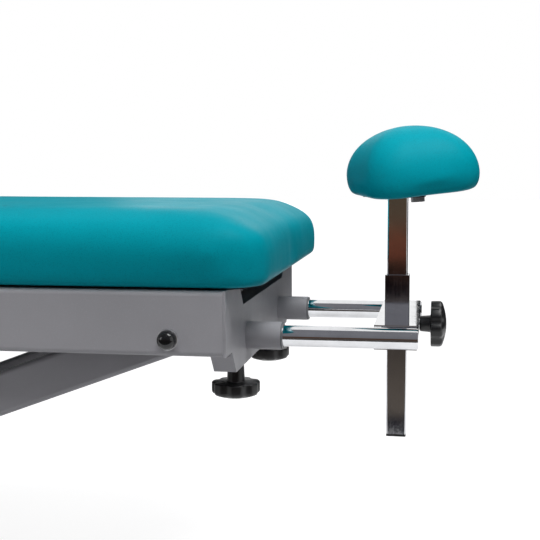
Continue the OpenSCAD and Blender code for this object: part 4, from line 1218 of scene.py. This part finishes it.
class TABLE_OT_stage(bpy.types.Operator):
    """Set up the floor, the lights, the sheets of painted reflection and the camera"""

    bl_idname = "table.stage"
    bl_label = "Studio"

    def execute(self, context):
        studio = context.scene.table_studio
        self.floor(studio.floor)
        self.world(studio.fill)
        banded_reflection_sheet()
        # two more glowing sheets of painted reflection, beyond the foot end and behind the table
        plain_reflection_sheet("end_drape", (0.15, 2.2), (3.2, 0.3), (1.3, 2.4),
                    (0.018, 0.020, 0.024, 1), (0.035, 0.036, 0.040, 1))
        plain_reflection_sheet("back_drape", (-6.0, 2.0), (-1.7, 4.6), (5.0, 5.0),
                    (0.13, 0.14, 0.15, 1), (0.18, 0.19, 0.20, 1))
        area_light("soft_box_foot", (1.0, -0.5, 2.3), (1.4, 1.2), studio.foot_light, True)
        area_light("soft_box_front", (0.2, -1.6, 2.2), (1.6, 1.2), studio.front_light, False)
        area_light("soft_box_top", (-0.3, 0.2, 2.4), (3.2, 1.8), studio.top_light, False)
        area_light("soft_box_low", (-2.3, -1.85, 0.72), (1.0, 1.0), studio.low_light, True)
        self.camera()
        context.scene.view_settings.view_transform = "Standard"
        return {"FINISHED"}

    def floor(self, colour):
        """Pale floor that glows for the camera, a little more with distance, so that it
        runs into the white of the world without an edge."""
        mesh = bpy.data.meshes.new("floor")
        corners = [(-15, -15, 0), (15, -15, 0), (15, 15, 0), (-15, 15, 0)]
        mesh.from_pydata(corners, [], [(0, 1, 2, 3)])
        material, tree, shader = new_finish("studio_floor", Roughness=0.7)
        cloud = noise(tree, stretched(tree), 1.5, 3.0)
        tree.links.new(mixed(tree, cloud, shade(colour, 0.99), shade(colour, 1.01)),
                       shader.inputs["Base Color"])
        rays = add(tree, "ShaderNodeLightPath").outputs
        away = add(tree, "ShaderNodeVectorMath", {0: stretched(tree, (1, 1, 0))},
                   operation="LENGTH")
        seen = sums(tree, "MULTIPLY", rays["Is Camera Ray"],
                    remap(tree, away.outputs["Value"], 1.4, 6.0, 0.9, 0.985))
        mirrored = sums(tree, "MULTIPLY", rays["Is Glossy Ray"], 0.64)
        glow = add(tree, "ShaderNodeEmission", {
            "Color": (1, 1, 1, 1), "Strength": sums(tree, "MAXIMUM", seen, mirrored)})
        both = add(tree, "ShaderNodeAddShader", {0: shader.outputs[0], 1: glow.outputs[0]})
        tree.links.new(both.outputs[0], tree.nodes["Material Output"].inputs["Surface"])
        mesh.materials.append(material)
        linked("floor", mesh)

    def world(self, fill):
        """White for the camera and in polished surfaces, and a faint fill for the rest."""
        world = bpy.data.worlds.new("studio")
        bpy.context.scene.world = world
        world.use_nodes = True
        tree = world.node_tree
        rays = add(tree, "ShaderNodeLightPath").outputs
        direct = sums(tree, "MAXIMUM", rays["Is Camera Ray"], rays["Is Glossy Ray"])
        direct = sums(tree, "MAXIMUM", direct, rays["Is Transmission Ray"])
        back = tree.nodes["Background"]
        back.inputs["Color"].default_value = (1, 1, 1, 1)
        tree.links.new(remap(tree, direct, 0, 1, fill, 1.0), back.inputs["Strength"])

    def camera(self):
        """Long lens on the near side of the foot end, a little above the rods."""
        lens = bpy.data.cameras.new("camera")
        lens.lens, lens.sensor_width = 65.807, 36.0
        lens.clip_start, lens.clip_end = 0.05, 60
        right, down = Vector((0.9857, 0.1685, 0)), Vector((0.01722, -0.1008, -0.9948))
        roll = 0.0046
        across = (math.cos(roll) * right + math.sin(roll) * down).normalized()
        back = Vector((0.1676, -0.9805, 0.1022)).normalized()
        up = back.cross(across).normalized()
        turn = Matrix((up.cross(back), up, back)).transposed().to_4x4()
        place = foot_end() + Vector((0.2219, -1.2570, 0.1969))
        holder = linked("camera", lens)
        holder.matrix_world = Matrix.Translation(place) @ turn
        bpy.context.scene.camera = holder


# ---- Add-on --------------------------------------------------------------


class TABLE_PT_panel(bpy.types.Panel):
    """Lists the steps and their settings"""

    bl_idname = "TABLE_PT_panel"
    bl_label = "Chiropractic table"
    bl_space_type = "VIEW_3D"
    bl_region_type = "UI"
    bl_category = "Table"

    def draw(self, context):
        for name in SETTINGS:
            group = getattr(context.scene, name)
            box = self.layout.box()
            for key in group.bl_rna.properties.keys():
                if key not in ("rna_type", "name"):
                    box.prop(group, key)
        for step in STEPS:
            self.layout.operator(step.bl_idname)


SETTINGS = {
    "table_vinyl": VinylSettings,
    "table_cushions": CushionSettings,
    "table_fittings": FittingSettings,
    "table_paint": PaintSettings,
    "table_studio": StudioSettings,
}
STEPS = (
    TABLE_OT_stage,
    TABLE_OT_frame_finishes,
    TABLE_OT_long_cushions,
    TABLE_OT_head_cushion,
    TABLE_OT_foot_pad,
    TABLE_OT_knobs,
    TABLE_OT_pivot_caps,
    TABLE_OT_board_fasteners,
    TABLE_OT_welds,
    TABLE_OT_slot_stitches,
    TABLE_OT_pedal_ribs,
    TABLE_OT_levelling_feet,
)
CLASSES = (*SETTINGS.values(), *STEPS, TABLE_PT_panel)


def register():
    for kind in CLASSES:
        bpy.utils.register_class(kind)
    for name, group in SETTINGS.items():
        setattr(bpy.types.Scene, name, bpy.props.PointerProperty(type=group))


def unregister():
    for name in SETTINGS:
        delattr(bpy.types.Scene, name)
    for kind in reversed(CLASSES):
        bpy.utils.unregister_class(kind)


def main():
    register()
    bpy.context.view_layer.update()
    bpy.ops.table.stage()
    bpy.ops.table.frame_finishes()
    bpy.ops.table.long_cushions()
    bpy.ops.table.head_cushion()
    bpy.ops.table.foot_pad()
    bpy.ops.table.knobs()
    bpy.ops.table.pivot_caps()
    bpy.ops.table.board_fasteners()
    bpy.ops.table.welds()
    bpy.ops.table.slot_stitches()
    bpy.ops.table.pedal_ribs()
    bpy.ops.table.levelling_feet()


if __name__ == "__main__":
    main()
